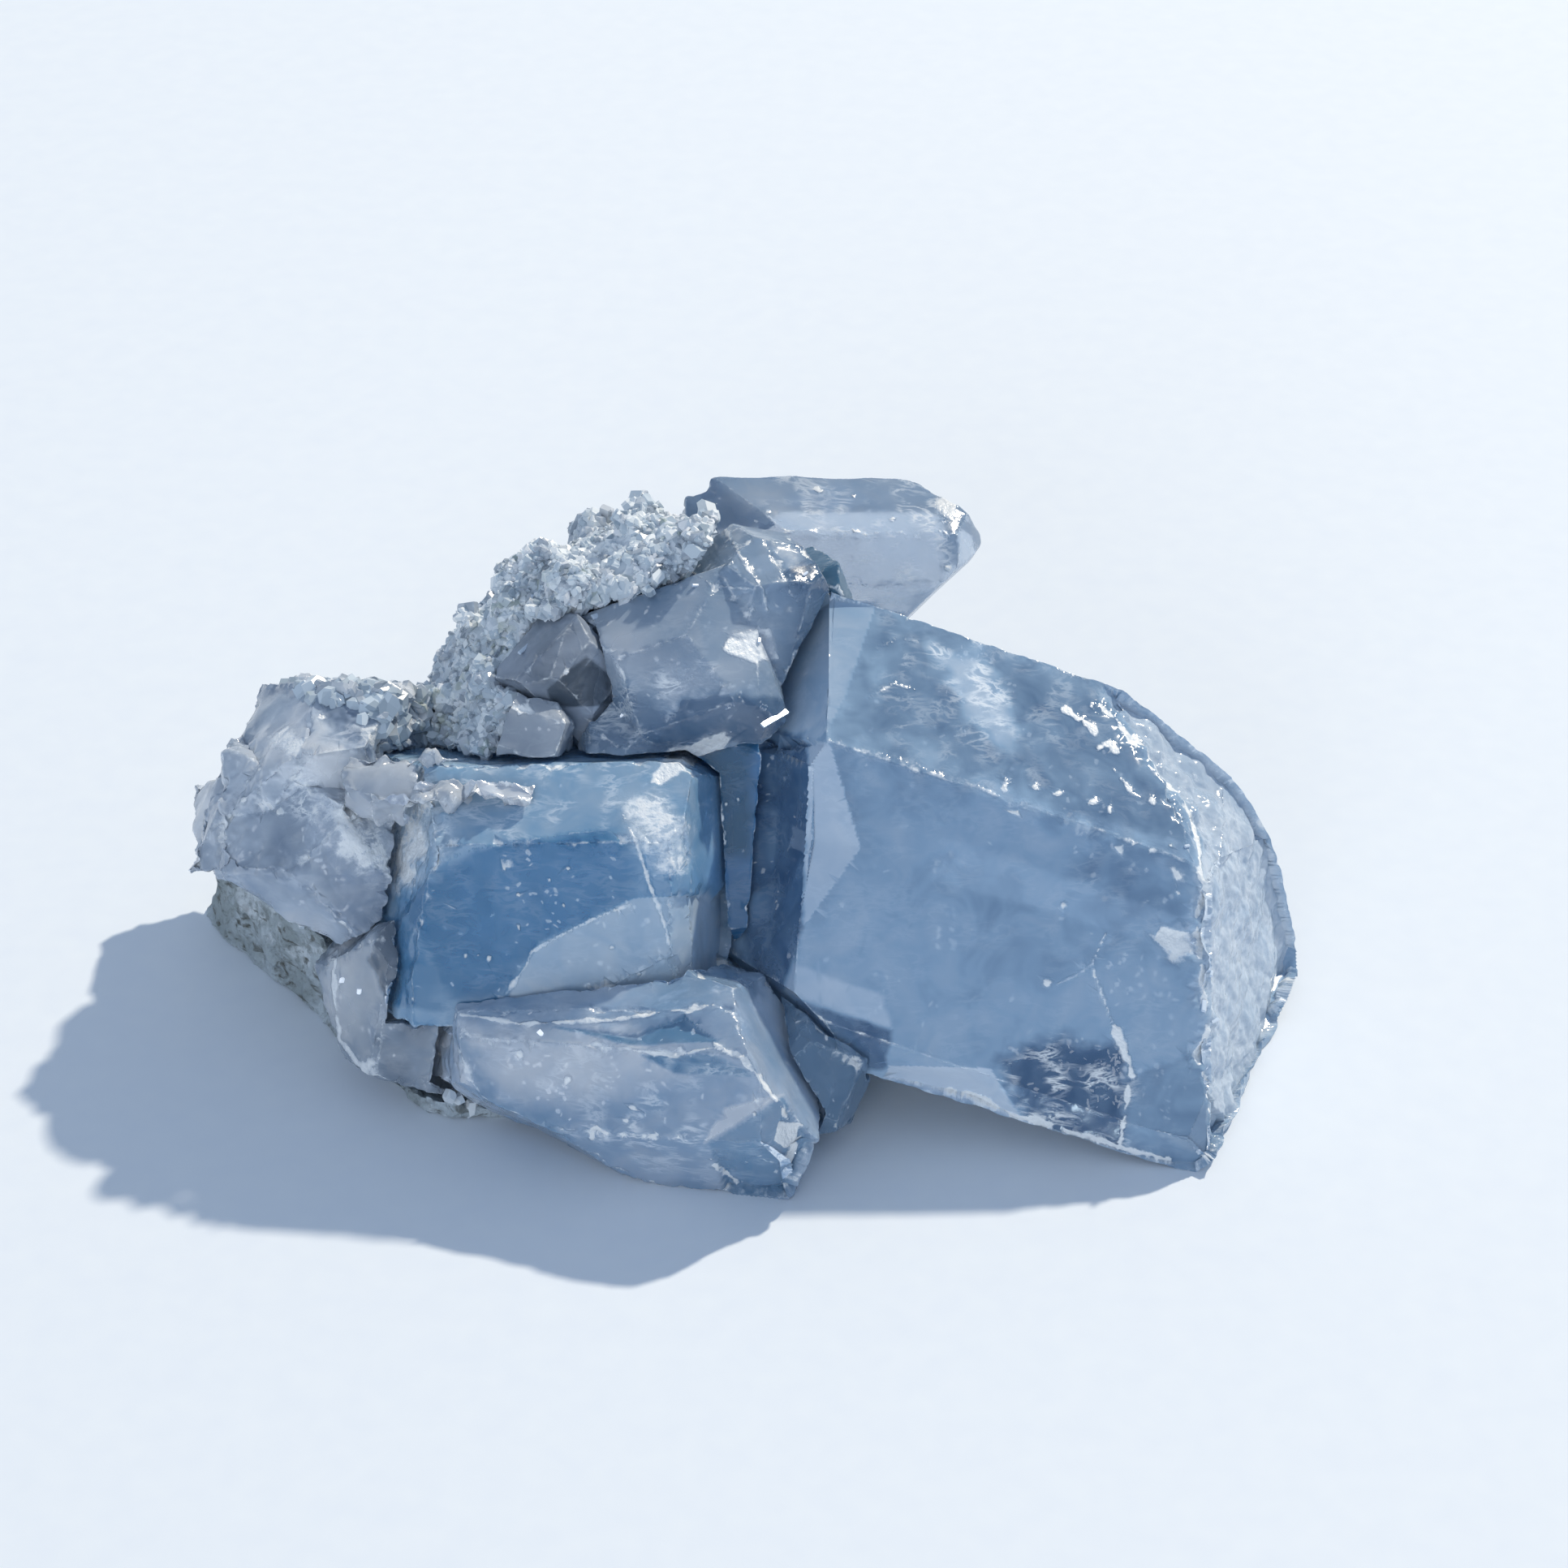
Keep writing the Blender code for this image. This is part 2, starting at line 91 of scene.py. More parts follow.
def toward(azimuth, elevation):
    """The unit vector of a direction."""
    level = math.cos(math.radians(elevation))
    turn = math.radians(azimuth)
    return Vector((math.sin(turn) * level, -math.cos(turn) * level, math.sin(math.radians(elevation))))


TO_CAMERA = toward(0, VIEW_ELEVATION)
TO_RIGHT = Vector((1, 0, 0))
TO_TOP = TO_CAMERA.cross(TO_RIGHT)
EYE = Vector(LOOK_AT) + TO_CAMERA * VIEW_DISTANCE


def in_photo(points):
    """Where points lie in the photograph's frame, in its pixels."""
    away = np.array(points) - np.array(EYE)
    depth = -(away @ np.array(TO_CAMERA))
    across = PHOTO_WIDTH / 2 + FOCAL * (away @ np.array(TO_RIGHT)) / depth
    down = PHOTO_WIDTH / 2 - FOCAL * (away @ np.array(TO_TOP)) / depth
    return np.stack((across, down), 1)


def sight(pixel):
    """The direction in which the eye sees a pixel."""
    across = (pixel[0] - PHOTO_WIDTH / 2) / FOCAL
    down = (pixel[1] - PHOTO_WIDTH / 2) / FOCAL
    return (TO_RIGHT * across - TO_TOP * down - TO_CAMERA).normalized()


def wired(tree, kind, settings, sockets):
    """Add a node to a tree: its type, its settings, and the values or links of its sockets."""
    made = tree.nodes.new(kind)
    for name, setting in (settings or {}).items():
        if name == "stops":
            fill_ramp(made.color_ramp, setting)
        else:
            setattr(made, name, setting)
    for key, given in (sockets or {}).items():
        if isinstance(given, bpy.types.NodeSocket):
            tree.links.new(given, made.inputs[key])
        else:
            made.inputs[key].default_value = given
    return made


def fill_ramp(ramp, stops):
    """Set a colour ramp's stops, each a place and a colour."""
    while len(ramp.elements) > len(stops):
        ramp.elements.remove(ramp.elements[-1])
    while len(ramp.elements) < len(stops):
        ramp.elements.new(1.0)
    for element, (place, colour) in zip(ramp.elements, stops):
        element.position = place
        element.color = colour


class Value:
    """A number or colour that changes over a surface, with sums on it written as plain arithmetic."""

    def __init__(self, finish, socket):
        self.finish = finish
        self.socket = socket

    def maths(self, operation, *parts):
        return self.finish.node("Math", {"operation": operation}, dict(enumerate(parts)))

    def __add__(self, other):
        return self.maths("ADD", self, other)

    def __radd__(self, other):
        return self.maths("ADD", other, self)

    def __sub__(self, other):
        return self.maths("SUBTRACT", self, other)

    def __rsub__(self, other):
        return self.maths("SUBTRACT", other, self)

    def __mul__(self, other):
        return self.maths("MULTIPLY", self, other)

    def __rmul__(self, other):
        return self.maths("MULTIPLY", other, self)

    def clamped(self):
        return self.finish.node("Clamp", {}, {"Value": self})

    def size(self):
        return self.maths("ABSOLUTE", self)

    def step(self, low, high):
        """0 below low and 1 above high, with a soft step between."""
        settings = {"interpolation_type": "SMOOTHSTEP"}
        return self.finish.node("MapRange", settings, {"Value": self, "From Min": low, "From Max": high})


class Finish:
    """A material under construction."""

    def __init__(self, name, seed=0.0):
        self.material = bpy.data.materials.new(name)
        self.material.use_nodes = True
        self.tree = self.material.node_tree
        self.tree.nodes.clear()
        self.end = self.tree.nodes.new("ShaderNodeOutputMaterial")
        self.spot = self.node("TexCoord", out="Object")
        if seed:
            shift = (seed * MM, 0, seed * MM)
            self.spot = self.node("VectorMath", {"operation": "ADD"}, {0: self.spot, 1: shift})

    def node(self, kind, settings=None, sockets=None, out=0):
        """Add a shader node, and give back the output wanted as a value."""
        given = {
            key: part.socket if isinstance(part, Value) else part
            for key, part in (sockets or {}).items()
        }
        return Value(self, wired(self.tree, "ShaderNode" + kind, settings, given).outputs[out])

    def stretched(self, turn, scale):
        """The place on the piece, turned by three angles in degrees and stretched."""
        angles = tuple(math.radians(angle) for angle in turn)
        return self.node("Mapping", {}, {"Vector": self.spot, "Rotation": angles, "Scale": scale})

    def cloud(self, grain, detail=3.0, roughness=0.55, warp=0.0, place=None):
        """Soft noise from 0 to 1 with a grain size in millimetres."""
        sockets = {
            "Vector": place or self.spot, "Scale": 1 / (grain * MM), "Detail": detail,
            "Roughness": roughness, "Distortion": warp,
        }
        return self.node("TexNoise", {}, sockets)

    def threads(self, grain, detail=4.0, place=None):
        """Thin bright lines that wander like the wisps of a healed fracture."""
        return 1 - (self.cloud(grain, detail, 0.6, 0.5, place) - 0.5).size() * 2

    def cells(self, grain, out="Distance", place=None):
        """Crystal-like cells with a grain size in millimetres."""
        return self.node("TexVoronoi", {}, {"Vector": place or self.spot, "Scale": 1 / (grain * MM)}, out)

    def painted(self, name):
        """A value kept on the piece's own points."""
        return self.node("Attribute", {"attribute_name": name}, out="Fac")

    def ramp(self, value, *stops):
        """A colour by a value, from stops that are each a place and a colour."""
        return self.node("ValToRGB", {"stops": stops}, {0: value})

    def mix(self, first, second, share):
        """A colour between two, by a share of the second."""
        sockets = {0: share, 6: first, 7: second}
        return self.node("Mix", {"data_type": "RGBA", "clamp_factor": True}, sockets, 2)

    def bump(self, height, depth):
        """Relief from a height, with its depth in millimetres."""
        return self.node("Bump", {}, {"Height": height, "Distance": depth * MM, "Strength": 1.0})

    def surface(self, **sockets):
        """The main shader: underscores in the names stand for spaces."""
        spaced = {name.replace("_", " "): given for name, given in sockets.items()}
        return self.node("BsdfPrincipled", {}, spaced)

    def blend(self, first, second, share):
        """One shader over another, by a share of the second."""
        return self.node("MixShader", {}, {0: share, 1: first, 2: second})

    def done(self, surface, inside=None):
        self.tree.links.new(surface.socket, self.end.inputs["Surface"])
        if inside:
            self.tree.links.new(inside.socket, self.end.inputs["Volume"])
        return self.material


# Celestite's own figures: how strongly it bends light, and the colours that light keeps on its way inside
CELESTITE_IOR = 1.625
BLUE_DEPTH = (0.20, 0.58, 0.93, 1.0)
LAVENDER_DEPTH = (0.50, 0.73, 0.97, 1.0)
WHITE = srgb(244, 249, 253)
CLEAR = (1.0, 1.0, 1.0, 1.0)
MILKY_THROUGHOUT = 0.85


def celestite(name, deep, tint, milk, haze, depth, absorbing, seed):
    """Clear blue crystal with a milky haze and healed wisps, frosted white where it is broken or chipped."""
    finish = Finish(name, seed)
    fine = finish.cloud(0.7, 3.0, 0.65)
    milky = finish.painted("milk")
    frosted = finish.painted("frost")
    veiled = finish.painted("veil")
    thin = finish.painted("thin")
    streaky = finish.stretched((0, 24, 0), (0.45, 1.0, 1.3))
    wisps = finish.threads(0.9, 4.0, streaky).step(0.80, 1.02) * finish.cloud(1.9, 1.0).step(0.40, 0.66)
    frost = (frosted * 1.3 + (fine - 0.5) * 1.5 * frosted.step(0.02, 0.3)).step(0.30, 1.0)
    white = (frost + wisps * veiled).clamped()
    normal = finish.bump(finish.cloud(0.35, 2.0, 0.6) * (frosted * 0.8 + 0.03), 0.2)
    tone = (milky + (finish.cloud(2.6, 2.0, 0.6, 0.8) - 0.5) * 0.55).clamped()
    body = finish.ramp(tone, (0.0, deep), (0.5, tint), (1.0, milk))
    clear = finish.surface(
        Base_Color=CLEAR, Roughness=(0.06 + milky * 0.22 + frost * 0.2).clamped(),
        IOR=CELESTITE_IOR, Transmission_Weight=1.0, Normal=normal,
    )
    hazy = finish.surface(
        Base_Color=finish.mix(body, WHITE, white), Roughness=0.13 + frost * 0.3,
        IOR=CELESTITE_IOR, Normal=normal,
    )
    share = (haze * (0.7 + 0.4 * milky) - thin * 0.10 + white * 0.4).clamped()
    inside = finish.node("VolumeAbsorption", {}, {"Color": depth, "Density": absorbing})
    return finish.done(finish.blend(clear, hazy, share), inside)


def grainy_druse(name, dull, bright, haze, seed):
    """The small crystals of the druse: sugary, half clear, each grain a little different."""
    finish = Finish(name, seed)
    pick = finish.node("SeparateColor", {}, {0: finish.cells(1.1, out="Color")})
    fine = finish.cloud(0.5, 2.0, 0.6)
    dirt = finish.cloud(5.0, 2.0, 0.6, 0.5).step(0.54, 0.68) * finish.cloud(1.2, 1.0).step(0.42, 0.6)
    body = finish.mix(finish.mix(dull, bright, pick.step(0.15, 0.85)), srgb(150, 163, 146), dirt * 0.6)
    hazy = finish.surface(Base_Color=body, Roughness=0.12 + fine * 0.2, IOR=CELESTITE_IOR)
    if haze >= MILKY_THROUGHOUT:
        return finish.done(hazy)
    clear = finish.surface(
        Base_Color=finish.mix(body, CLEAR, 0.7), Roughness=0.06 + fine * 0.1,
        IOR=CELESTITE_IOR, Transmission_Weight=1.0,
    )
    return finish.done(finish.blend(clear, hazy, (haze + (pick - 0.5) * 0.5 + dirt * 0.3).clamped()))


def marl():
    """The host rock: dull grey-green, pitted, with darker streaks and pale crusty patches."""
    finish = Finish("marl")
    broad = finish.cloud(6.0, 4.0, 0.6, 0.8)
    fine = finish.cloud(0.7, 5.0, 0.7)
    beds = finish.stretched((20, 30, 0), (1.0, 1.0, 2.4))
    streaks = finish.cloud(2.2, 4.0, 0.6, 1.2, beds).step(0.54, 0.66)
    pale = finish.cloud(3.6, 4.0, 0.65, 0.6).step(0.52, 0.64)
    pits = finish.cells(0.9).step(0.45, 0.15) * finish.cloud(3.0).step(0.45, 0.65)
    colour = finish.mix(srgb(160, 171, 175), srgb(196, 208, 216), broad.step(0.38, 0.66))
    colour = finish.mix(colour, srgb(222, 230, 236), pale * fine.step(0.35, 0.6) * 0.85)
    dark = (streaks * 0.75 + fine.step(0.52, 0.34) * 0.4 + pits * 0.5).clamped()
    colour = finish.mix(colour, srgb(96, 98, 92), dark)
    normal = finish.bump(fine - finish.cells(0.9).step(0.45, 0.15) * 0.3, 0.35)
    return finish.done(finish.surface(Base_Color=colour, Roughness=0.82 + fine * 0.15, Normal=normal))


def sealed_white_painted_glow():
    """The flecks and healed cracks inside the crystals; their faint glow is painted light."""
    finish = Finish("sealed_white_painted_glow")
    colour = finish.mix(srgb(206, 222, 240), srgb(250, 252, 255), finish.cloud(0.6))
    # The glow stands in for light that reaches the flecks through the crystal: painted light, not a lamp
    glow = finish.mix(colour, CLEAR, 0.3)
    return finish.done(finish.surface(
        Base_Color=colour, Roughness=0.45, Emission_Color=glow, Emission_Strength=0.35,
    ))


def paper():
    """The pale floor."""
    finish = Finish("pale_floor")
    colour = finish.mix(srgb(232, 240, 250), srgb(238, 245, 252), finish.cloud(2.0, 1.0))
    return finish.done(finish.surface(Base_Color=colour, Roughness=0.8))


def crystal(**values):
    """A crystal's values, with no wear, rags, broken ends or flecks where they name none."""
    return {"worn": 0, "rags": 0.0, "broken": [], "flecks": 0, **values}


# Each crystal: its slot, its body colour where it is deepest, as a rule and where it is milkiest, its share
# of haze, the colours and density of its depth, the width of its chipped edges, the waviness of its faces and
# how uneven its milk is. Where it has them, how often its shape is worn smooth, how ragged its faces are, how
# many white flecks are sealed in it, and its broken ends, each by direction, the distance from the middle of
# its box at which it starts, and its depth
CRYSTALS = {
    "large_crystal": crystal(
        slot="celestite_blue", colours=(srgb(60, 102, 148), srgb(164, 197, 229), srgb(216, 231, 248)),
        haze=0.78, depth=BLUE_DEPTH, absorbing=36.0, chips=0.16, waves=0.05, clouds=0.16,
        broken=[((72, 10), 13.6, 1.6)], flecks=170,
    ),
    "left_crystal": crystal(
        slot="celestite_blue", colours=(srgb(100, 168, 222), srgb(148, 196, 236), srgb(220, 238, 254)),
        haze=0.64, depth=BLUE_DEPTH, absorbing=60.0, chips=0.45, waves=0.12, clouds=0.4,
        broken=[((-75, 10), 9.0, 0.6)], flecks=90,
    ),
    "front_crystal": crystal(
        slot="celestite_pale", colours=(srgb(118, 178, 226), srgb(180, 208, 240), srgb(228, 238, 252)),
        haze=0.58, depth=LAVENDER_DEPTH, absorbing=30.0, chips=0.45, waves=0.22, clouds=0.6,
        worn=1, rags=0.12, broken=[((-80, 0), 8.5, 0.6)], flecks=90,
    ),
    "corner_crystal": crystal(
        slot="celestite_pale", colours=(srgb(112, 136, 164), srgb(194, 212, 234), srgb(232, 240, 250)),
        haze=0.50, depth=LAVENDER_DEPTH, absorbing=24.0, chips=0.55, waves=0.28, clouds=1.1,
        worn=1, rags=0.16, flecks=50,
    ),
    "west_cluster": crystal(
        slot="celestite_pale", colours=(srgb(146, 172, 206), srgb(212, 228, 248), srgb(240, 246, 254)),
        haze=0.62, depth=LAVENDER_DEPTH, absorbing=26.0, chips=0.65, waves=0.28, clouds=0.9,
        rags=0.22, broken=[((-60, 30), 5.5, 0.7)], flecks=110,
    ),
    "cleft_crystal": crystal(
        slot="celestite_blue", colours=(srgb(66, 110, 140), srgb(64, 122, 172), srgb(78, 142, 202)),
        haze=0.88, depth=BLUE_DEPTH, absorbing=90.0, chips=0.25, waves=0.05, clouds=0.6,
        flecks=20,
    ),
    "foot_crystal": crystal(
        slot="celestite_blue", colours=(srgb(108, 152, 200), srgb(150, 190, 228), srgb(190, 214, 240)),
        haze=0.42, depth=BLUE_DEPTH, absorbing=45.0, chips=0.35, waves=0.10, clouds=0.5,
        worn=1, flecks=16,
    ),
    "back_crystal": crystal(
        slot="celestite_pale", colours=(srgb(132, 172, 220), srgb(166, 200, 238), srgb(208, 226, 248)),
        haze=0.42, depth=LAVENDER_DEPTH, absorbing=30.0, chips=0.12, waves=0.34, clouds=0.9,
        worn=18, flecks=40,
    ),
    "notch_crystal": crystal(
        slot="celestite_blue", colours=(srgb(44, 88, 118), srgb(58, 104, 136), srgb(84, 130, 162)),
        haze=0.85, depth=BLUE_DEPTH, absorbing=90.0, chips=0.20, waves=0.08, clouds=0.4,
        worn=1,
    ),
    "smoky_crystal": crystal(
        slot="celestite_blue", colours=(srgb(92, 106, 122), srgb(186, 200, 220), srgb(214, 224, 238)),
        haze=0.72, depth=LAVENDER_DEPTH, absorbing=70.0, chips=0.25, waves=0.05, clouds=0.3,
    ),
    "chip_crystal": crystal(
        slot="celestite_pale", colours=(srgb(150, 168, 192), srgb(204, 216, 232), srgb(234, 240, 248)),
        haze=0.66, depth=LAVENDER_DEPTH, absorbing=34.0, chips=0.35, waves=0.18, clouds=0.5,
        worn=2, flecks=8,
    ),
    "ledge_flake": crystal(
        slot="celestite_blue", colours=(srgb(188, 206, 230), srgb(214, 226, 242), srgb(240, 246, 252)),
        haze=0.60, depth=LAVENDER_DEPTH, absorbing=26.0, chips=0.60, waves=0.60, clouds=0.5,
        worn=1, rags=0.75,
    ),
    "upper_cluster": crystal(
        slot="celestite_blue", colours=(srgb(104, 142, 184), srgb(164, 192, 222), srgb(206, 220, 238)),
        haze=0.55, depth=BLUE_DEPTH, absorbing=44.0, chips=0.35, waves=0.12, clouds=0.8,
        worn=1, flecks=70,
    ),
}

CRUMPLED_FRACTURE = (
    (801, 965), (812, 938), (828, 920), (870, 908), (908, 906), (884, 930), (850, 944), (814, 967),
)

# Seams: white broken lines on a face, each with its width in pixels and how white it is
SEAMS = {
    "large_crystal": {
        "ridge_left": (((1020, 912), (1054, 923), (1085, 930), (1119, 945), (1160, 957)), 5, 0.42),
        "ridge_middle": (((1188, 966), (1228, 981), (1262, 990)), 5, 0.40),
        "fracture_top": (((1362, 1150), (1345, 1190), (1358, 1227), (1372, 1262)), 3, 0.60),
        "fracture_chips": (((1372, 1262), (1381, 1282), (1391, 1306), (1393, 1324)), 8, 0.90),
        "fracture_foot": (((1391, 1338), (1387, 1367), (1382, 1397), (1377, 1418)), 4, 0.70),
        "fracture_branch": (((1345, 1190), (1325, 1202), (1303, 1212)), 3, 0.45),
        "end_boundary": (
            ((1402, 905), (1447, 962), (1470, 1000), (1484, 1043), (1486, 1093), (1474, 1133), (1479, 1177),
             (1484, 1222), (1488, 1272), (1474, 1302), (1488, 1337), (1500, 1372)), 7, 0.80,
        ),
        "foot_chips_left": (((1168, 1352), (1200, 1360), (1243, 1374), (1293, 1389)), 6, 0.95),
        "foot_chips_right": (((1312, 1395), (1377, 1414), (1440, 1433)), 6, 0.75),
        "top_streak_1": (((1313, 877), (1330, 886), (1348, 899)), 7, 1.0),
        "top_streak_2": (((1358, 868), (1380, 890), (1402, 919)), 6, 0.85),
        "top_streak_3": (((1355, 922), (1366, 914), (1377, 926)), 5, 0.85),
        "top_streak_4": (((1372, 949), (1382, 960), (1392, 971)), 6, 0.65),
        "top_streak_5": (((1070, 860), (1100, 842), (1128, 850)), 3, 0.45),
        "top_streak_6": (((1080, 800), (1104, 786), (1130, 792)), 3, 0.40),
    },
    "left_crystal": {
        "fracture_edge": (
            ((776, 1115), (738, 1129), (694, 1151), (655, 1173), (647, 1192), (617, 1233)), 3, 0.55,
        ),
        "end_edge": (((765, 1000), (785, 1040), (800, 1090), (815, 1130), (824, 1165)), 4, 0.65),
        "bevel_edge": (((540, 1062), (584, 1047), (666, 1032), (745, 1022)), 3, 0.35),
    },
    "front_crystal": {
        "suture": (((568, 1250), (640, 1262), (677, 1260), (749, 1257), (814, 1246), (880, 1240)), 4, 0.70),
        "strip_edge": (((781, 1294), (831, 1300), (880, 1292), (913, 1303)), 4, 0.75),
        "ridge_chips": (
            ((880, 1288), (913, 1303), (945, 1338), (975, 1381), (992, 1420), (985, 1450)), 5, 0.85,
        ),
        "tip_chips": (((875, 1431), (890, 1452), (906, 1468)), 4, 0.85),
        "left_rim": (((562, 1290), (575, 1325), (600, 1362), (640, 1388)), 6, 0.55),
    },
    "corner_crystal": {
        "left_rim": (((410, 1180), (419, 1280), (441, 1310), (469, 1330)), 5, 0.70),
        "split": (((474, 1240), (468, 1290), (464, 1330)), 3, 0.45),
    },
    "upper_cluster": {
        "seam": (((892, 650), (916, 691), (940, 725), (946, 752)), 4, 0.60),
        "crest": (((845, 700), (880, 722), (930, 726)), 3, 0.5),
    },
}

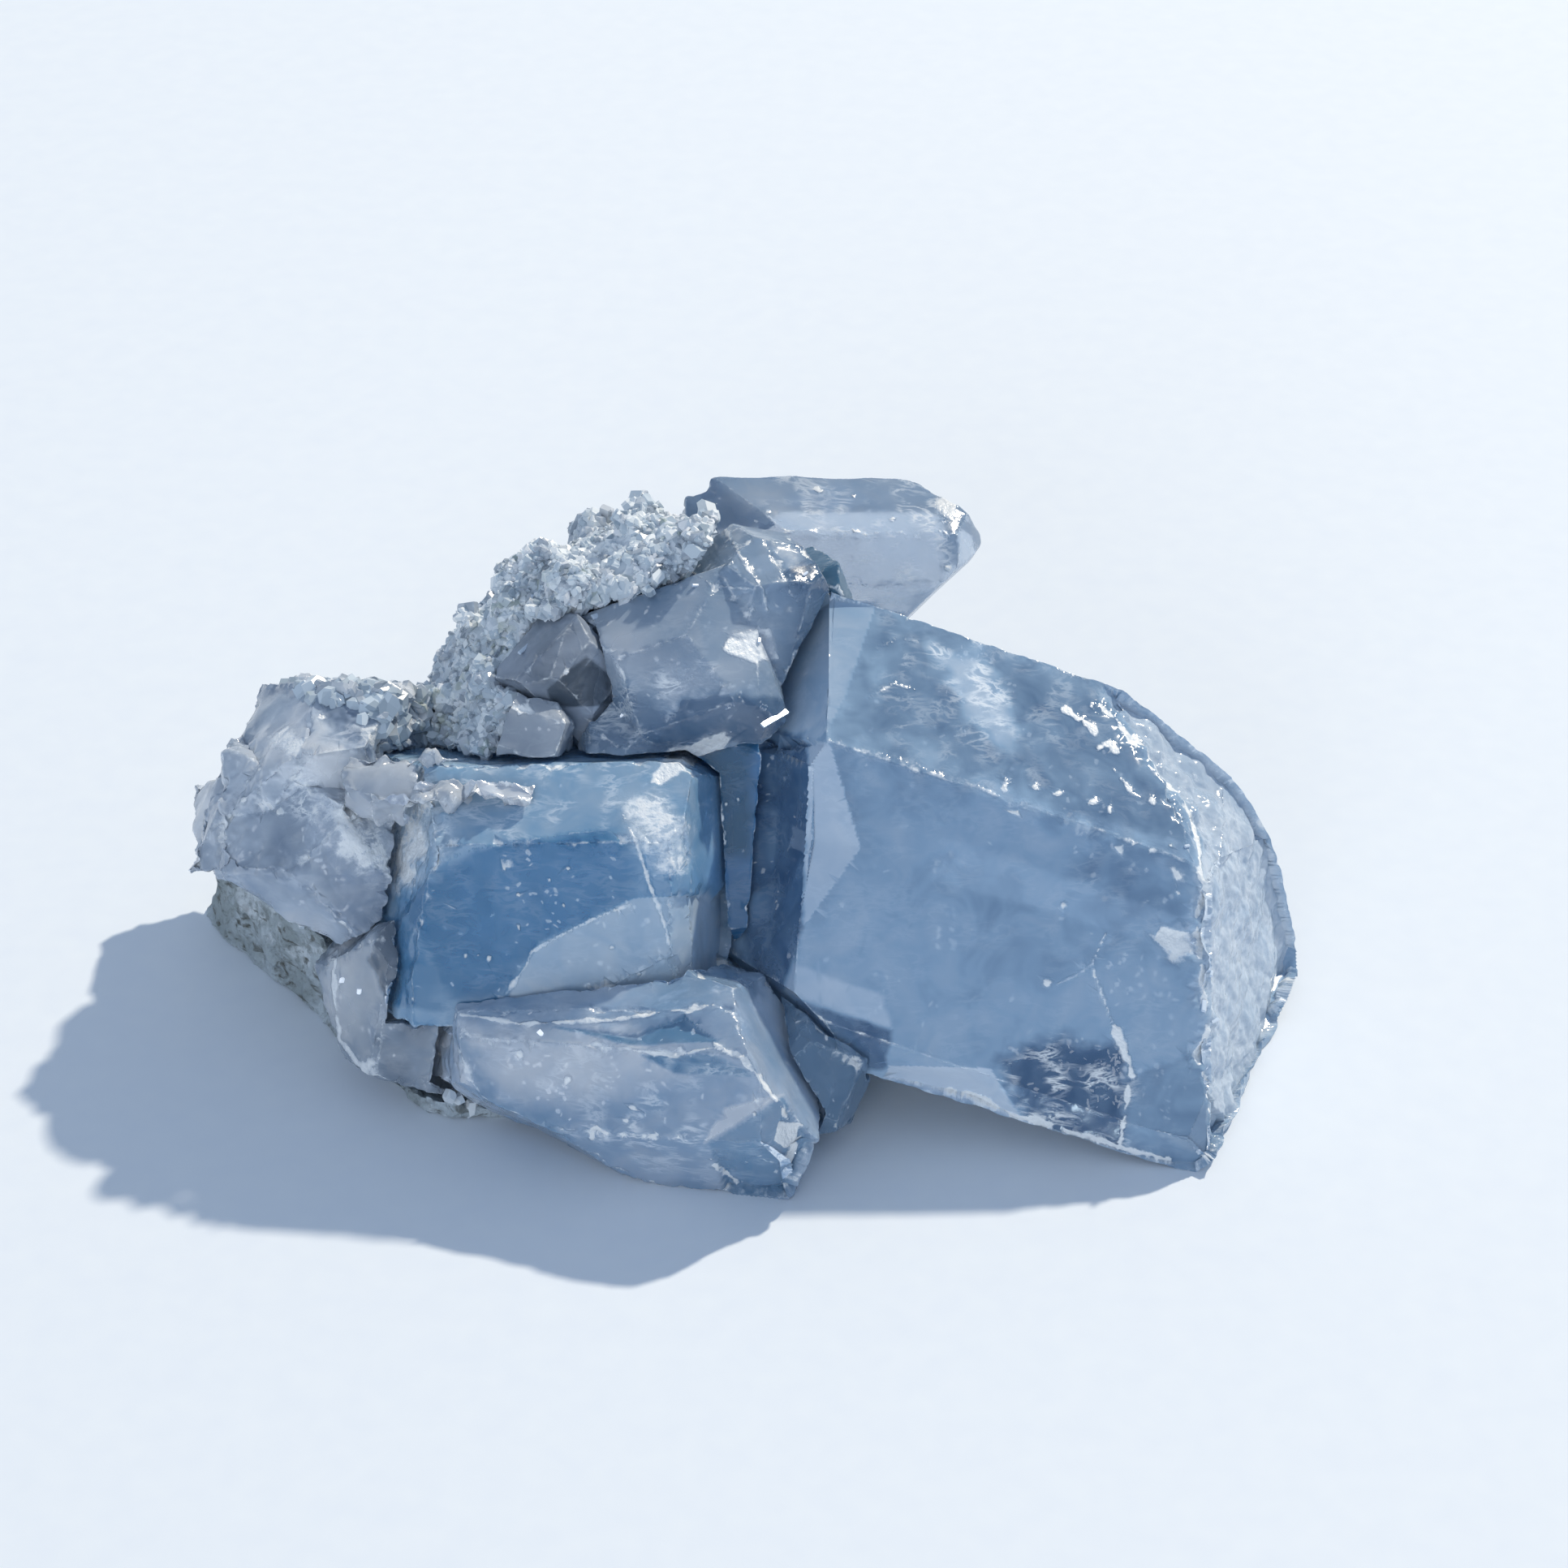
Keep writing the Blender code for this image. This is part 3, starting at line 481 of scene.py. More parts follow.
# Patches: an outline on a face, the softness of its edge in pixels, and what the face is there: how milky,
# how frosted, how veiled and how thin it is, from 0 to 1, and how rough in millimetres
PATCHES = {
    "large_crystal": {
        "top_haze": (
            ((1095, 755), (1240, 800), (1400, 860), (1380, 1010), (1200, 960), (1045, 905), (1062, 860)), 24,
            {"milk": 0.28, "veil": 0.35},
        ),
        "top_veil": (
            ((1149, 795), (1203, 800), (1228, 844), (1258, 899), (1232, 920), (1198, 889), (1174, 844)), 12,
            {"veil": 1.0, "milk": 0.75},
        ),
        "top_right": (
            ((1300, 870), (1395, 900), (1465, 1000), (1484, 1050), (1460, 1062), (1290, 1008)), 20,
            {"milk": 0.27, "veil": 0.12},
        ),
        "deeper_right": (
            ((1320, 1030), (1450, 1060), (1480, 1130), (1400, 1170), (1330, 1080)), 40,
            {"milk": 0.34, "veil": 0.25},
        ),
        "crackled": (
            ((1236, 1306), (1300, 1280), (1386, 1290), (1393, 1330), (1386, 1375), (1377, 1428), (1320, 1412),
             (1270, 1396), (1250, 1350)), 10,
            {"milk": 0.05, "veil": 1.0, "rough": 0.12},
        ),
        "under_crackle": (
            ((1300, 1380), (1350, 1375), (1384, 1340), (1377, 1420), (1320, 1405)), 8,
            {"milk": 0.0, "veil": 0.4},
        ),
        # Dark blue: painted shade of the cleft between the crystals
        "cleft_side_painted_shade": (
            ((915, 880), (988, 908), (992, 1000), (990, 1100), (990, 1140), (962, 1238), (940, 1225),
             (915, 1150)), 4,
            {"milk": 0.14, "veil": 0.1},
        ),
        # Darker here: painted reflection of the shaded floor
        "slate_facet_painted_reflection": (
            ((1400, 1325), (1480, 1290), (1500, 1372), (1440, 1430), (1384, 1416)), 4, {"milk": 0.36},
        ),
        "pale_ledge": (((976, 1186), (964, 1222), (1099, 1268), (1088, 1228)), 3, {"milk": 0.8}),
        "dark_ledge": (
            ((975, 1230), (1099, 1270), (1090, 1318), (1060, 1318), (1010, 1264)), 3, {"milk": 0.12},
        ),
        "white_blob": (
            ((1420, 1158), (1432, 1143), (1477, 1150), (1482, 1175), (1445, 1182)), 4,
            {"frost": 1.0, "rough": 0.3},
        ),
        "frosted_end": (
            ((1362, 858), (1402, 909), (1447, 962), (1470, 1000), (1484, 1043), (1486, 1093), (1474, 1133),
             (1479, 1177), (1484, 1222), (1488, 1272), (1474, 1302), (1490, 1337), (1506, 1381), (1640, 1400),
             (1640, 880), (1400, 820)), 14,
            {"frost": 0.14, "milk": 0.84, "rough": 0.85, "veil": 0.25, "thin": 1.0},
        ),
    },
    "left_crystal": {
        "top_bevel": (
            ((430, 930), (700, 925), (830, 940), (822, 1030), (750, 1022), (666, 1032), (584, 1047),
             (520, 1090), (430, 1090)), 12, {"milk": 0.62, "veil": 0.5},
        ),
        "deep_face": (
            ((491, 1107), (584, 1047), (666, 1032), (749, 1022), (776, 1058), (781, 1107), (666, 1162),
             (611, 1233), (551, 1228), (507, 1157)), 5, {"milk": 0.06, "veil": 0.15},
        ),
        "lower_face": (
            ((781, 1107), (666, 1162), (647, 1189), (611, 1260), (880, 1260), (870, 1107)), 2,
            {"milk": 0.88, "veil": 0.1},
        ),
        "left_frost": (
            ((419, 955), (500, 945), (550, 1000), (535, 1050), (500, 1090), (440, 1080), (410, 1020)), 22,
            {"frost": 0.50, "rough": 0.5, "veil": 1.0, "milk": 0.9},
        ),
        "end_frost": (
            ((754, 980), (800, 975), (850, 1010), (845, 1075), (810, 1070), (775, 1030)), 8,
            {"frost": 0.45, "veil": 1.0, "milk": 0.9},
        ),
        "crumpled_fracture": (CRUMPLED_FRACTURE, 4, {"frost": 0.75, "veil": 1.0, "rough": 0.2}),
        "grey_facet": (
            ((452, 1184), (474, 1130), (512, 1140), (540, 1195), (545, 1245), (474, 1240)), 3, {"milk": 0.2},
        ),
    },
    "front_crystal": {
        "pale_back": (
            ((570, 1262), (792, 1278), (860, 1310), (800, 1370), (620, 1350)), 16,
            {"milk": 0.95, "veil": 0.3},
        ),
        "lower_zone": (
            ((830, 1330), (870, 1350), (880, 1410), (860, 1450), (700, 1400), (740, 1360)), 20,
            {"milk": 0.45, "veil": 0.7},
        ),
        "wedge": (
            ((683, 1265), (781, 1279), (842, 1256), (884, 1284), (780, 1288)), 2, {"milk": 0.0, "veil": 0.2},
        ),
        "strip": (((790, 1300), (880, 1298), (935, 1327), (831, 1322)), 2, {"milk": 0.05, "veil": 0.7}),
        "pale_triangle": (((866, 1411), (891, 1365), (964, 1349)), 1.5, {"milk": 1.0}),
        "dark_tip": (
            ((875, 1411), (964, 1353), (1004, 1431), (985, 1475), (900, 1475), (878, 1431)), 2,
            {"milk": 0.20, "veil": 0.25},
        ),
        # A painted glint: a white patch where the key light mirrors off the tip
        "painted_glint_patch": (((962, 1383), (990, 1385), (990, 1412), (976, 1418), (960, 1408)), 1.5, {"frost": 1.0}),
    },
    "corner_crystal": {
        "grey_facet": (
            ((452, 1184), (474, 1130), (512, 1140), (540, 1195), (545, 1240), (474, 1236)), 3,
            {"milk": 0.0, "veil": 0.3},
        ),
        "white_toe": (((436, 1310), (469, 1305), (471, 1336), (450, 1330)), 3, {"frost": 1.0}),
    },
    "west_cluster": {
        "granular_top": (
            ((385, 850), (560, 850), (560, 960), (470, 955), (400, 905)), 14,
            {"milk": 0.1, "veil": 0.6, "rough": 0.25},
        ),
        "frost_1": (((335, 905), (352, 898), (366, 908), (358, 922), (340, 922)), 6, {"frost": 1.0}),
        "frost_2": (((448, 900), (462, 890), (478, 900), (470, 916), (450, 916)), 6, {"frost": 1.0}),
        "frost_3": (
            ((400, 985), (450, 975), (500, 1010), (480, 1075), (430, 1065)), 16, {"frost": 0.6, "veil": 1.0},
        ),
        "frosted_rim": (((360, 930), (400, 950), (400, 1010), (350, 1010)), 14, {"frost": 0.35, "veil": 1.0}),
    },
    "cleft_crystal": {
        "gunmetal": (((860, 915), (930, 915), (925, 1060), (880, 1060)), 8, {"milk": 0.15}),
        "deep_blue": (((885, 1060), (940, 1060), (915, 1170), (890, 1170)), 8, {"milk": 0.45}),
    },
    "upper_cluster": {
        "white_chip": (
            ((890, 800), (902, 778), (950, 773), (960, 812), (926, 816), (907, 809)), 1.5,
            {"frost": 0.75, "milk": 1.0},
        ),
        "swirl": (
            ((808, 836), (825, 808), (877, 822), (872, 850), (842, 882), (815, 878)), 8,
            {"milk": 0.9, "veil": 1.0, "frost": 0.25},
        ),
        "pale_crest": (((885, 640), (960, 640), (1000, 700), (940, 735), (905, 700)), 6, {"milk": 0.55}),
        "notch_shade": (
            ((966, 704), (990, 692), (1050, 684), (1056, 745), (1015, 726), (985, 730)), 3, {"milk": 0.0},
        ),
        "dark_lower": (
            ((840, 862), (880, 858), (975, 860), (972, 905), (830, 925), (800, 925)), 4, {"milk": 0.0},
        ),
        "blue_slope": (((712, 870), (780, 840), (800, 915), (720, 925)), 8, {"milk": 0.2, "veil": 0.6}),
        "crumpled_fracture": (CRUMPLED_FRACTURE, 4, {"frost": 0.75, "veil": 1.0}),
    },
    "smoky_crystal": {
        "dark_facet": (((674, 850), (722, 808), (752, 831), (752, 870), (680, 870)), 2, {"milk": 0.0}),
    },
    "back_crystal": {
        "white_spot": (((1154, 616), (1165, 604), (1183, 612), (1180, 636), (1160, 640)), 6, {"frost": 0.8}),
        "grey_side": (((880, 630), (1000, 640), (1010, 720), (900, 720)), 14, {"milk": 0.3}),
        "wisps": (
            ((960, 590), (1180, 600), (1190, 700), (1100, 740), (1000, 700)), 30, {"veil": 0.9, "milk": 0.62},
        ),
    },
}

# Facets and steps: an outline, how many of its first corners make the rim from which the face slopes inwards,
# how steeply it does, and how milky the face is there
FACETS = {
    "large_crystal": {
        "left_facet": (((1022, 916), (1060, 1045), (984, 1150), (930, 1150), (930, 900)), 3, 0.26, 0.85),
        "top_left_facet": (
            ((1079, 745), (1043, 854), (1021, 898), (1000, 915), (930, 915), (930, 690)), 4, 0.22, 0.66,
        ),
        # A real step in the face, made darker: painted reflection of the shaded floor
        "slate_cut_painted_reflection": (
            ((1377, 1425), (1392, 1330), (1474, 1310), (1520, 1385), (1480, 1470),
             (1400, 1460)), 3, 0.12, 0.36,
        ),
        "foot_facet": (((1096, 1313), (1220, 1316), (1262, 1384), (1180, 1380), (1080, 1350)), 3, 0.35, 0.95),
    },
    "left_crystal": {
        "lower_step": (
            ((781, 1107), (666, 1162), (647, 1189), (611, 1270), (900, 1270), (900, 1100)), 4, 0.10, 0.88,
        ),
    },
    "front_crystal": {
        "tip_facet": (((875, 1411), (964, 1353), (1020, 1431), (985, 1490), (900, 1490)), 2, 0.20, 0.20),
        "wedge_step": (((884, 1284), (780, 1288), (683, 1265), (781, 1274), (842, 1250)), 3, 0.30, 0.0),
    },
}

# Edges worn soft: the line of each, how far from it the wear reaches, in pixels, and how often it is smoothed
WORN_EDGES = {
    "large_crystal": {
        "ridge_right": (((1200, 975), (1290, 1006), (1400, 1040), (1474, 1062)), 30, 70),
    },
}

# Single white flecks on a face: their places and their radius, in pixels
FLECKS = {
    "large_crystal": (
        ((1256, 998), (1275, 971), (1303, 979), (1345, 988), (1382, 1043), (1441, 1041), (1310, 1115),
         (1238, 969), (1445, 1075), (1452, 1100), (1366, 1000), (1420, 985), (1290, 1212), (1345, 870)), 5,
    ),
    "left_crystal": (
        ((677, 1085), (639, 1102), (622, 1069), (694, 1115), (589, 1178), (603, 1181), (573, 1178),
         (639, 1143), (787, 1206), (683, 1239), (754, 1168), (700, 1070), (560, 1120)), 4,
    ),
    "front_crystal": (((772, 1381), (781, 1365), (700, 1330), (930, 1372), (640, 1300), (730, 1400)), 4),
    "west_cluster": (((322, 950), (395, 880), (300, 985), (381, 975), (420, 1010), (345, 1000)), 5),
    "back_crystal": (((1010, 606), (1050, 612), (1050, 655), (1168, 700), (945, 633), (1100, 640)), 4),
    "cleft_crystal": (((880, 997), (895, 990), (910, 985), (888, 1008)), 4),
}

# How a CAD piece becomes a fine mesh: what is merged, flat or sharp, and the grain of faces and of edges
MERGE_WIDTH = 0.004
FLAT_WIDTH = 0.001
FLAT_ANGLE = 1.0
SHARP_ANGLE = 14.0
CREASE_ANGLE = 20.0
FACE_GRAIN = 1.0
EDGE_GRAIN = 0.20
EDGE_BAND = 0.36
DICING_ROUNDS = 14
FEW_LONG_EDGES = 0.02

# How near a mark the mesh is fine, in pixels, and which patches have an edge crisp enough to need it
NEAR_MARK = 5
NEAR_OUTLINE = 6
CRISP = 5
BEFORE_BREAK = 0.5

# The looks that every crystal shares
# A thin white line along every sharp edge: partly white chipped edge, partly painted highlight
EDGE_WHITE_AND_HIGHLIGHT = 0.36
EDGE_LINE = 0.14
BASE_VEIL = 0.08
END_FROST = 0.18
DEEPEST_FACET = 1.2
FACING_LEAST = 0.06


def bench_copy(node):
    """A CAD piece's shape in millimetres, its loose triangles merged into whole faces."""
    bm = bmesh.new()
    bm.from_mesh(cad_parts[node].data)
    bmesh.ops.scale(bm, verts=bm.verts, vec=(1 / MM, 1 / MM, 1 / MM))
    bmesh.ops.remove_doubles(bm, verts=bm.verts, dist=MERGE_WIDTH)
    bmesh.ops.dissolve_limit(
        bm, angle_limit=math.radians(FLAT_ANGLE), verts=bm.verts, edges=bm.edges,
    )
    return bm


def dice(bm, longest, fine, in_detail):
    """Halve long edges down to one length, or a finer one where detail is, and clear flat triangles."""
    for _ in range(DICING_ROUNDS):
        bmesh.ops.triangulate(bm, faces=[face for face in bm.faces if len(face.verts) > 3])
        bmesh.ops.dissolve_degenerate(bm, dist=FLAT_WIDTH, edges=bm.edges)
        lengths = [(edge.calc_length(), edge) for edge in bm.edges]
        long_edges = [edge for length, edge in lengths if length > longest]
        between = [(length, edge) for length, edge in lengths if fine < length <= longest]
        if between and len(long_edges) < FEW_LONG_EDGES * len(lengths):
            middles = np.array([(edge.verts[0].co + edge.verts[1].co)[:] for _, edge in between]) / 2
            detailed = in_detail(middles)
            long_edges += [edge for (_, edge), wanted in zip(between, detailed) if wanted]
        if not long_edges:
            break
        bmesh.ops.subdivide_edges(bm, edges=long_edges, cuts=1)


def sharp_edges(bm):
    """The ends of the edges where faces meet sharply, as two arrays of points."""
    found = [
        (edge.verts[0].co[:], edge.verts[1].co[:])
        for edge in bm.edges
        if edge.is_manifold and edge.calc_face_angle(0.0) > math.radians(SHARP_ANGLE)
    ]
    ends = np.array(found)
    return ends[:, 0], ends[:, 1]


def distance_to_edges(points, starts, ends):
    """Each point's distance to the nearest of some straight edges, in space or in the photograph's frame."""
    nearest = np.full(len(points), 1e9)
    for start, end in zip(starts, ends):
        along = end - start
        length = max(along @ along, 1e-12)
        share = np.clip((points - start) @ along / length, 0, 1)
        gap = points - start - share[:, None] * along
        nearest = np.minimum(nearest, np.sqrt((gap * gap).sum(1)))
    return nearest


def distance_to_line(pixels, corners, closed=False):
    """How far pixels lie from a line through corners."""
    starts = np.array(corners, float)
    if closed:
        return distance_to_edges(pixels, starts, np.roll(starts, -1, 0))
    return distance_to_edges(pixels, starts[:-1], starts[1:])


def within(pixels, corners):
    """Which pixels lie inside an outline."""
    inside = np.zeros(len(pixels), bool)
    across, down = pixels.T
    for (x0, y0), (x1, y1) in zip(corners, corners[1:] + corners[:1]):
        if y0 != y1:
            beyond = across < (x1 - x0) * (down - y0) / (y1 - y0) + x0
            inside ^= ((y0 > down) != (y1 > down)) & beyond
    return inside


def patch_share(pixels, corners, softness, ragged=0.0):
    """From 0 outside a patch to 1 well inside it."""
    gap = distance_to_line(pixels, corners, closed=True)
    signed = np.where(within(pixels, corners), gap, -gap) + ragged * softness
    return np.clip(0.5 + signed / (2 * softness), 0, 1)


def reach_into(points, middle, broken):
    """How far points lie past the start of a broken end, in millimetres."""
    (azimuth, elevation), start, _ = broken
    return (points - np.array(middle)) @ np.array(toward(azimuth, elevation)) - start


def soft_noise(points, grain, octaves=3):
    """Noise at each point, about -1 to 1, with a grain size in millimetres."""
    return np.array([noise.fractal(Vector(point) / grain, 1.0, 2.0, octaves) for point in points])


def lumpy_noise(points, grain):
    """Rounded lumps with creases between them, 0 at a lump's middle."""
    return np.array([noise.voronoi(Vector(point) / grain)[0][0] for point in points])


def wants_detail(node, points, starts, ends, middle):
    """Which points have fine shape or fine marks near them."""
    detailed = distance_to_edges(points, starts, ends) < EDGE_BAND
    for broken in CRYSTALS[node]["broken"]:
        detailed |= reach_into(points, middle, broken) > -BEFORE_BREAK
    pixels = in_photo(points)
    for corners, width, _ in SEAMS.get(node, {}).values():
        detailed |= distance_to_line(pixels, corners) < width + NEAR_MARK
    for corners, softness, changes in PATCHES.get(node, {}).values():
        if softness < CRISP:
            detailed |= distance_to_line(pixels, corners, closed=True) < NEAR_OUTLINE
        if "rough" in changes:
            detailed |= within(pixels, corners)
    for corners, rim, _, _ in FACETS.get(node, {}).values():
        detailed |= distance_to_line(pixels, corners[:rim]) < NEAR_OUTLINE
    if node in FLECKS:
        places, radius = FLECKS[node]
        for place in places:
            detailed |= np.hypot(*(pixels - place).T) < radius + NEAR_MARK
    return detailed


def wear(bm, verts, rounds):
    """Smooth some points of a shape, halfway towards their neighbours in each round."""
    for _ in range(rounds):
        bmesh.ops.smooth_vert(
            bm, verts=verts, factor=0.5, use_axis_x=True, use_axis_y=True, use_axis_z=True,
        )


def grown_crystal(node, finish):
    """A crystal with worn, chipped edges, faces that wave a little, rough broken ends and its own marks."""
    habit = CRYSTALS[node]
    bm = bench_copy(node)
    starts, ends = sharp_edges(bm)
    low, high = (Vector(corner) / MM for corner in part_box(node))
    middle = (low + high) / 2
    dice(bm, FACE_GRAIN, EDGE_GRAIN, lambda points: wants_detail(node, points, starts, ends, middle))
    bm.normal_update()
    points = np.array([vert.co[:] for vert in bm.verts])
    normals = np.array([vert.normal[:] for vert in bm.verts])
    to_eye = np.array(EYE) - points
    facing = (normals * to_eye).sum(1) > FACING_LEAST * VIEW_DISTANCE
    pixels = in_photo(points)
    edge_gap = distance_to_edges(points, starts, ends)
    ragged = soft_noise(points, 1.1, 4)
    broad = soft_noise(points + np.array(middle), 7.0)

    sunk = -habit["waves"] * soft_noise(points, 4.0) - habit["rags"] * soft_noise(points, 1.6)
    chip = np.clip(habit["chips"] * np.maximum(0, 0.3 + 1.3 * ragged) - edge_gap, 0, None)
    frost = np.minimum(1, 2 * chip / habit["chips"]) * np.clip(ragged, 0, 1)
    # White along every sharp edge: partly chipped edge, partly painted highlight
    frost = np.maximum(frost, EDGE_WHITE_AND_HIGHLIGHT * np.exp(-(edge_gap / EDGE_LINE) ** 2))
    milk = np.clip(0.5 + habit["clouds"] * 0.75 * broad, 0, 1)
    veil = np.full(len(points), BASE_VEIL)
    thin = np.zeros(len(points))
    rough = np.zeros(len(points))
    lumps = lumpy_noise(points, 3.2)
    ribs = 0.5 + 0.5 * np.sin(2.4 * (points[:, 2] + 0.5 * points[:, 1]) + 3 * soft_noise(points, 2.5, 1))
    for broken in habit["broken"]:
        _, _, depth = broken
        past = reach_into(points, middle, broken) + 1.3 * soft_noise(points, 3.5)
        into = np.clip(past / 1.5, 0, 1)
        rough = np.maximum(rough, depth * into * (0.5 * ribs + 0.5))
        frost = np.maximum(frost, END_FROST * into)
        milk = np.maximum(milk, into)

    for corners, rim, slope, milkiness in FACETS.get(node, {}).values():
        inside = within(pixels, corners) & facing
        depth = distance_to_line(pixels, corners[:rim]) * PIXEL * slope
        sunk += np.where(inside, np.minimum(depth, DEEPEST_FACET), 0)
        milk = np.where(inside, milkiness, milk)
    blotches = 1 + 0.9 * soft_noise(points, 2.6, 2)
    for corners, softness, changes in PATCHES.get(node, {}).values():
        share = patch_share(pixels, corners, softness, ragged) * facing
        if "frost" in changes:
            frost += (changes["frost"] * blotches - frost) * share
        milk += (changes.get("milk", milk) - milk) * share
        veil += (changes.get("veil", veil) - veil) * share
        thin += (changes.get("thin", thin) - thin) * share
        rough += (changes.get("rough", rough) - rough) * share
    for corners, width, whiteness in SEAMS.get(node, {}).values():
        gap = distance_to_line(pixels, corners)
        line = np.clip(1.5 - gap / np.maximum(0.1, width * (0.55 + 0.9 * ragged)), 0, 1)
        frost = np.maximum(frost, line * whiteness * facing)
    if node in FLECKS:
        places, radius = FLECKS[node]
        for place in places:
            gap = np.hypot(*(pixels - place).T)
            fleck = np.clip(1.3 - gap / (radius * (0.35 + 1.5 * np.abs(ragged))), 0, 1)
            frost = np.maximum(frost, fleck * facing)

    sunk += rough * (0.35 + 0.9 * lumps + 0.22 * ragged) + 0.6 * chip
    moved = points - normals * sunk[:, None]
    painted = [
        (bm.verts.layers.float.new(name), np.clip(values, 0, 1))
        for name, values in (("frost", frost), ("milk", milk), ("veil", veil), ("thin", thin))
    ]
    for number, vert in enumerate(bm.verts):
        vert.co = moved[number]
        for layer, values in painted:
            vert[layer] = values[number]
    for corners, width, rounds in WORN_EDGES.get(node, {}).values():
        near = distance_to_line(pixels, corners) < width
        wear(bm, [vert for vert, wanted in zip(bm.verts, near & facing) if wanted], rounds)
    wear(bm, bm.verts, habit["worn"])
    return stand(f"{node}_grown", bm, node, finish, CREASE_ANGLE)


def stand(name, bm, node, finish, crease=None):
    """Stand a finished piece, drawn in millimetres, in the place of its CAD node."""
    bmesh.ops.scale(bm, verts=bm.verts, vec=(MM, MM, MM))
    mesh = bpy.data.meshes.new(name)
    bm.to_mesh(mesh)
    bm.free()
    if crease:
        mesh.shade_smooth()
        mesh.set_sharp_from_angle(angle=math.radians(crease))
    mesh.materials.append(finish)
    return set_in_place(name, mesh, node)


def set_in_place(name, mesh, node=None):
    """Make a mesh a piece, in the place of a CAD node if it has one, and nowhere below the floor."""
    points = np.zeros(len(mesh.vertices) * 3)
    mesh.vertices.foreach_get("co", points)
    points[2::3] = np.maximum(points[2::3], 0)
    mesh.vertices.foreach_set("co", points)
    mesh.update()
    piece = bpy.data.objects.new(name, mesh)
    bpy.context.scene.collection.objects.link(piece)
    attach(piece, "root")
    if node:
        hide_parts(node)
    return piece


def voxel_copy(node, grain):
    """A CAD piece's shape in millimetres on an even, closed grid of small faces."""
    bm = bench_copy(node)
    mesh = bpy.data.meshes.new("rough_shape")
    bm.to_mesh(mesh)
    bm.free()
    rough = bpy.data.objects.new("rough_shape", mesh)
    bpy.context.scene.collection.objects.link(rough)
    remesh = rough.modifiers.new("even_grid", "REMESH")
    remesh.mode = "VOXEL"
    remesh.voxel_size = grain
    graph = bpy.context.evaluated_depsgraph_get()
    even = bpy.data.meshes.new_from_object(rough.evaluated_get(graph))
    bpy.data.objects.remove(rough)
    result = bmesh.new()
    result.from_mesh(even)
    bpy.data.meshes.remove(even)
    bpy.data.meshes.remove(mesh)
    return result


ROCK_GRAIN = 0.45
ROCK_RELIEF = 0.55
ROCK_FOOT = 0.3
CRUST_GRAIN = 0.30
CRUST_RELIEF = 0.30


def rough_rock(finish):
    """The marl, broken and weathered: ledges, pits and crumbs over the CAD block."""
    bm = voxel_copy("matrix_rock", ROCK_GRAIN)
    bm.normal_update()
    for vert in bm.verts:
        spot = vert.co.copy()
        if spot.z < ROCK_FOOT:
            continue
        ledges = noise.voronoi(Vector((spot.x / 3.2, spot.y / 3.2, spot.z / 1.6)))[0][0]
        grit = noise.fractal(spot / 0.9, 0.9, 2.1, 4)
        vert.co = spot + vert.normal * ROCK_RELIEF * (0.45 * grit - 0.7 * ledges)
    return stand("matrix_rock_weathered", bm, "matrix_rock", finish)


def rough_crust(finish):
    """The bed of the druse, a sugary crust."""
    bm = voxel_copy("druse_crust", CRUST_GRAIN)
    bm.normal_update()
    for vert in bm.verts:
        spot = vert.co.copy()
        lumps = noise.voronoi(spot / 1.2)[0][0]
        grit = noise.fractal(spot / 0.6, 1.0, 2.0, 3)
        vert.co = spot + vert.normal * CRUST_RELIEF * (0.5 * grit - 0.8 * lumps)
    return stand("druse_crust_sugary", bm, "druse_crust", finish)


class Growth:
    """A Geometry Nodes tree under construction, with named inputs."""

    def __init__(self, name, inputs):
        self.group = bpy.data.node_groups.new(name, "GeometryNodeTree")
        face = self.group.interface
        face.new_socket("Geometry", in_out="INPUT", socket_type="NodeSocketGeometry")
        self.keys = {}
        for label, kind in inputs.items():
            socket = face.new_socket(label, in_out="INPUT", socket_type=f"NodeSocket{kind}")
            self.keys[label] = socket.identifier
        face.new_socket("Geometry", in_out="OUTPUT", socket_type="NodeSocketGeometry")
        self.given = self.group.nodes.new("NodeGroupInput").outputs
        self.end = self.group.nodes.new("NodeGroupOutput")

    def node(self, kind, settings=None, sockets=None, out=0):
        """Add a node, and give back the output wanted, or all of them where none is named."""
        outputs = wired(self.group, kind, settings, sockets).outputs
        return outputs if out is None else outputs[out]

    def times(self, first, second):
        return self.node("ShaderNodeMath", {"operation": "MULTIPLY"}, {0: first, 1: second})

    def between(self, low, high, seed):
        """A random number between two for each point."""
        return self.node(
            "FunctionNodeRandomValue", {"data_type": "FLOAT"}, {2: low, 3: high, "Seed": seed}, 1,
        )

    def finish(self, geometry):
        self.group.links.new(geometry, self.end.inputs[0])
        return self

    def grow(self, base, values):
        """Run the tree on a base mesh and give back what it makes as a plain mesh."""
        host = bpy.data.objects.new("growing", base)
        bpy.context.scene.collection.objects.link(host)
        step = host.modifiers.new("growing", "NODES")
        step.node_group = self.group
        for label, value in values.items():
            step[self.keys[label]] = value
        graph = bpy.context.evaluated_depsgraph_get()
        grown = bpy.data.meshes.new_from_object(host.evaluated_get(graph))
        bpy.data.objects.remove(host)
        return grown


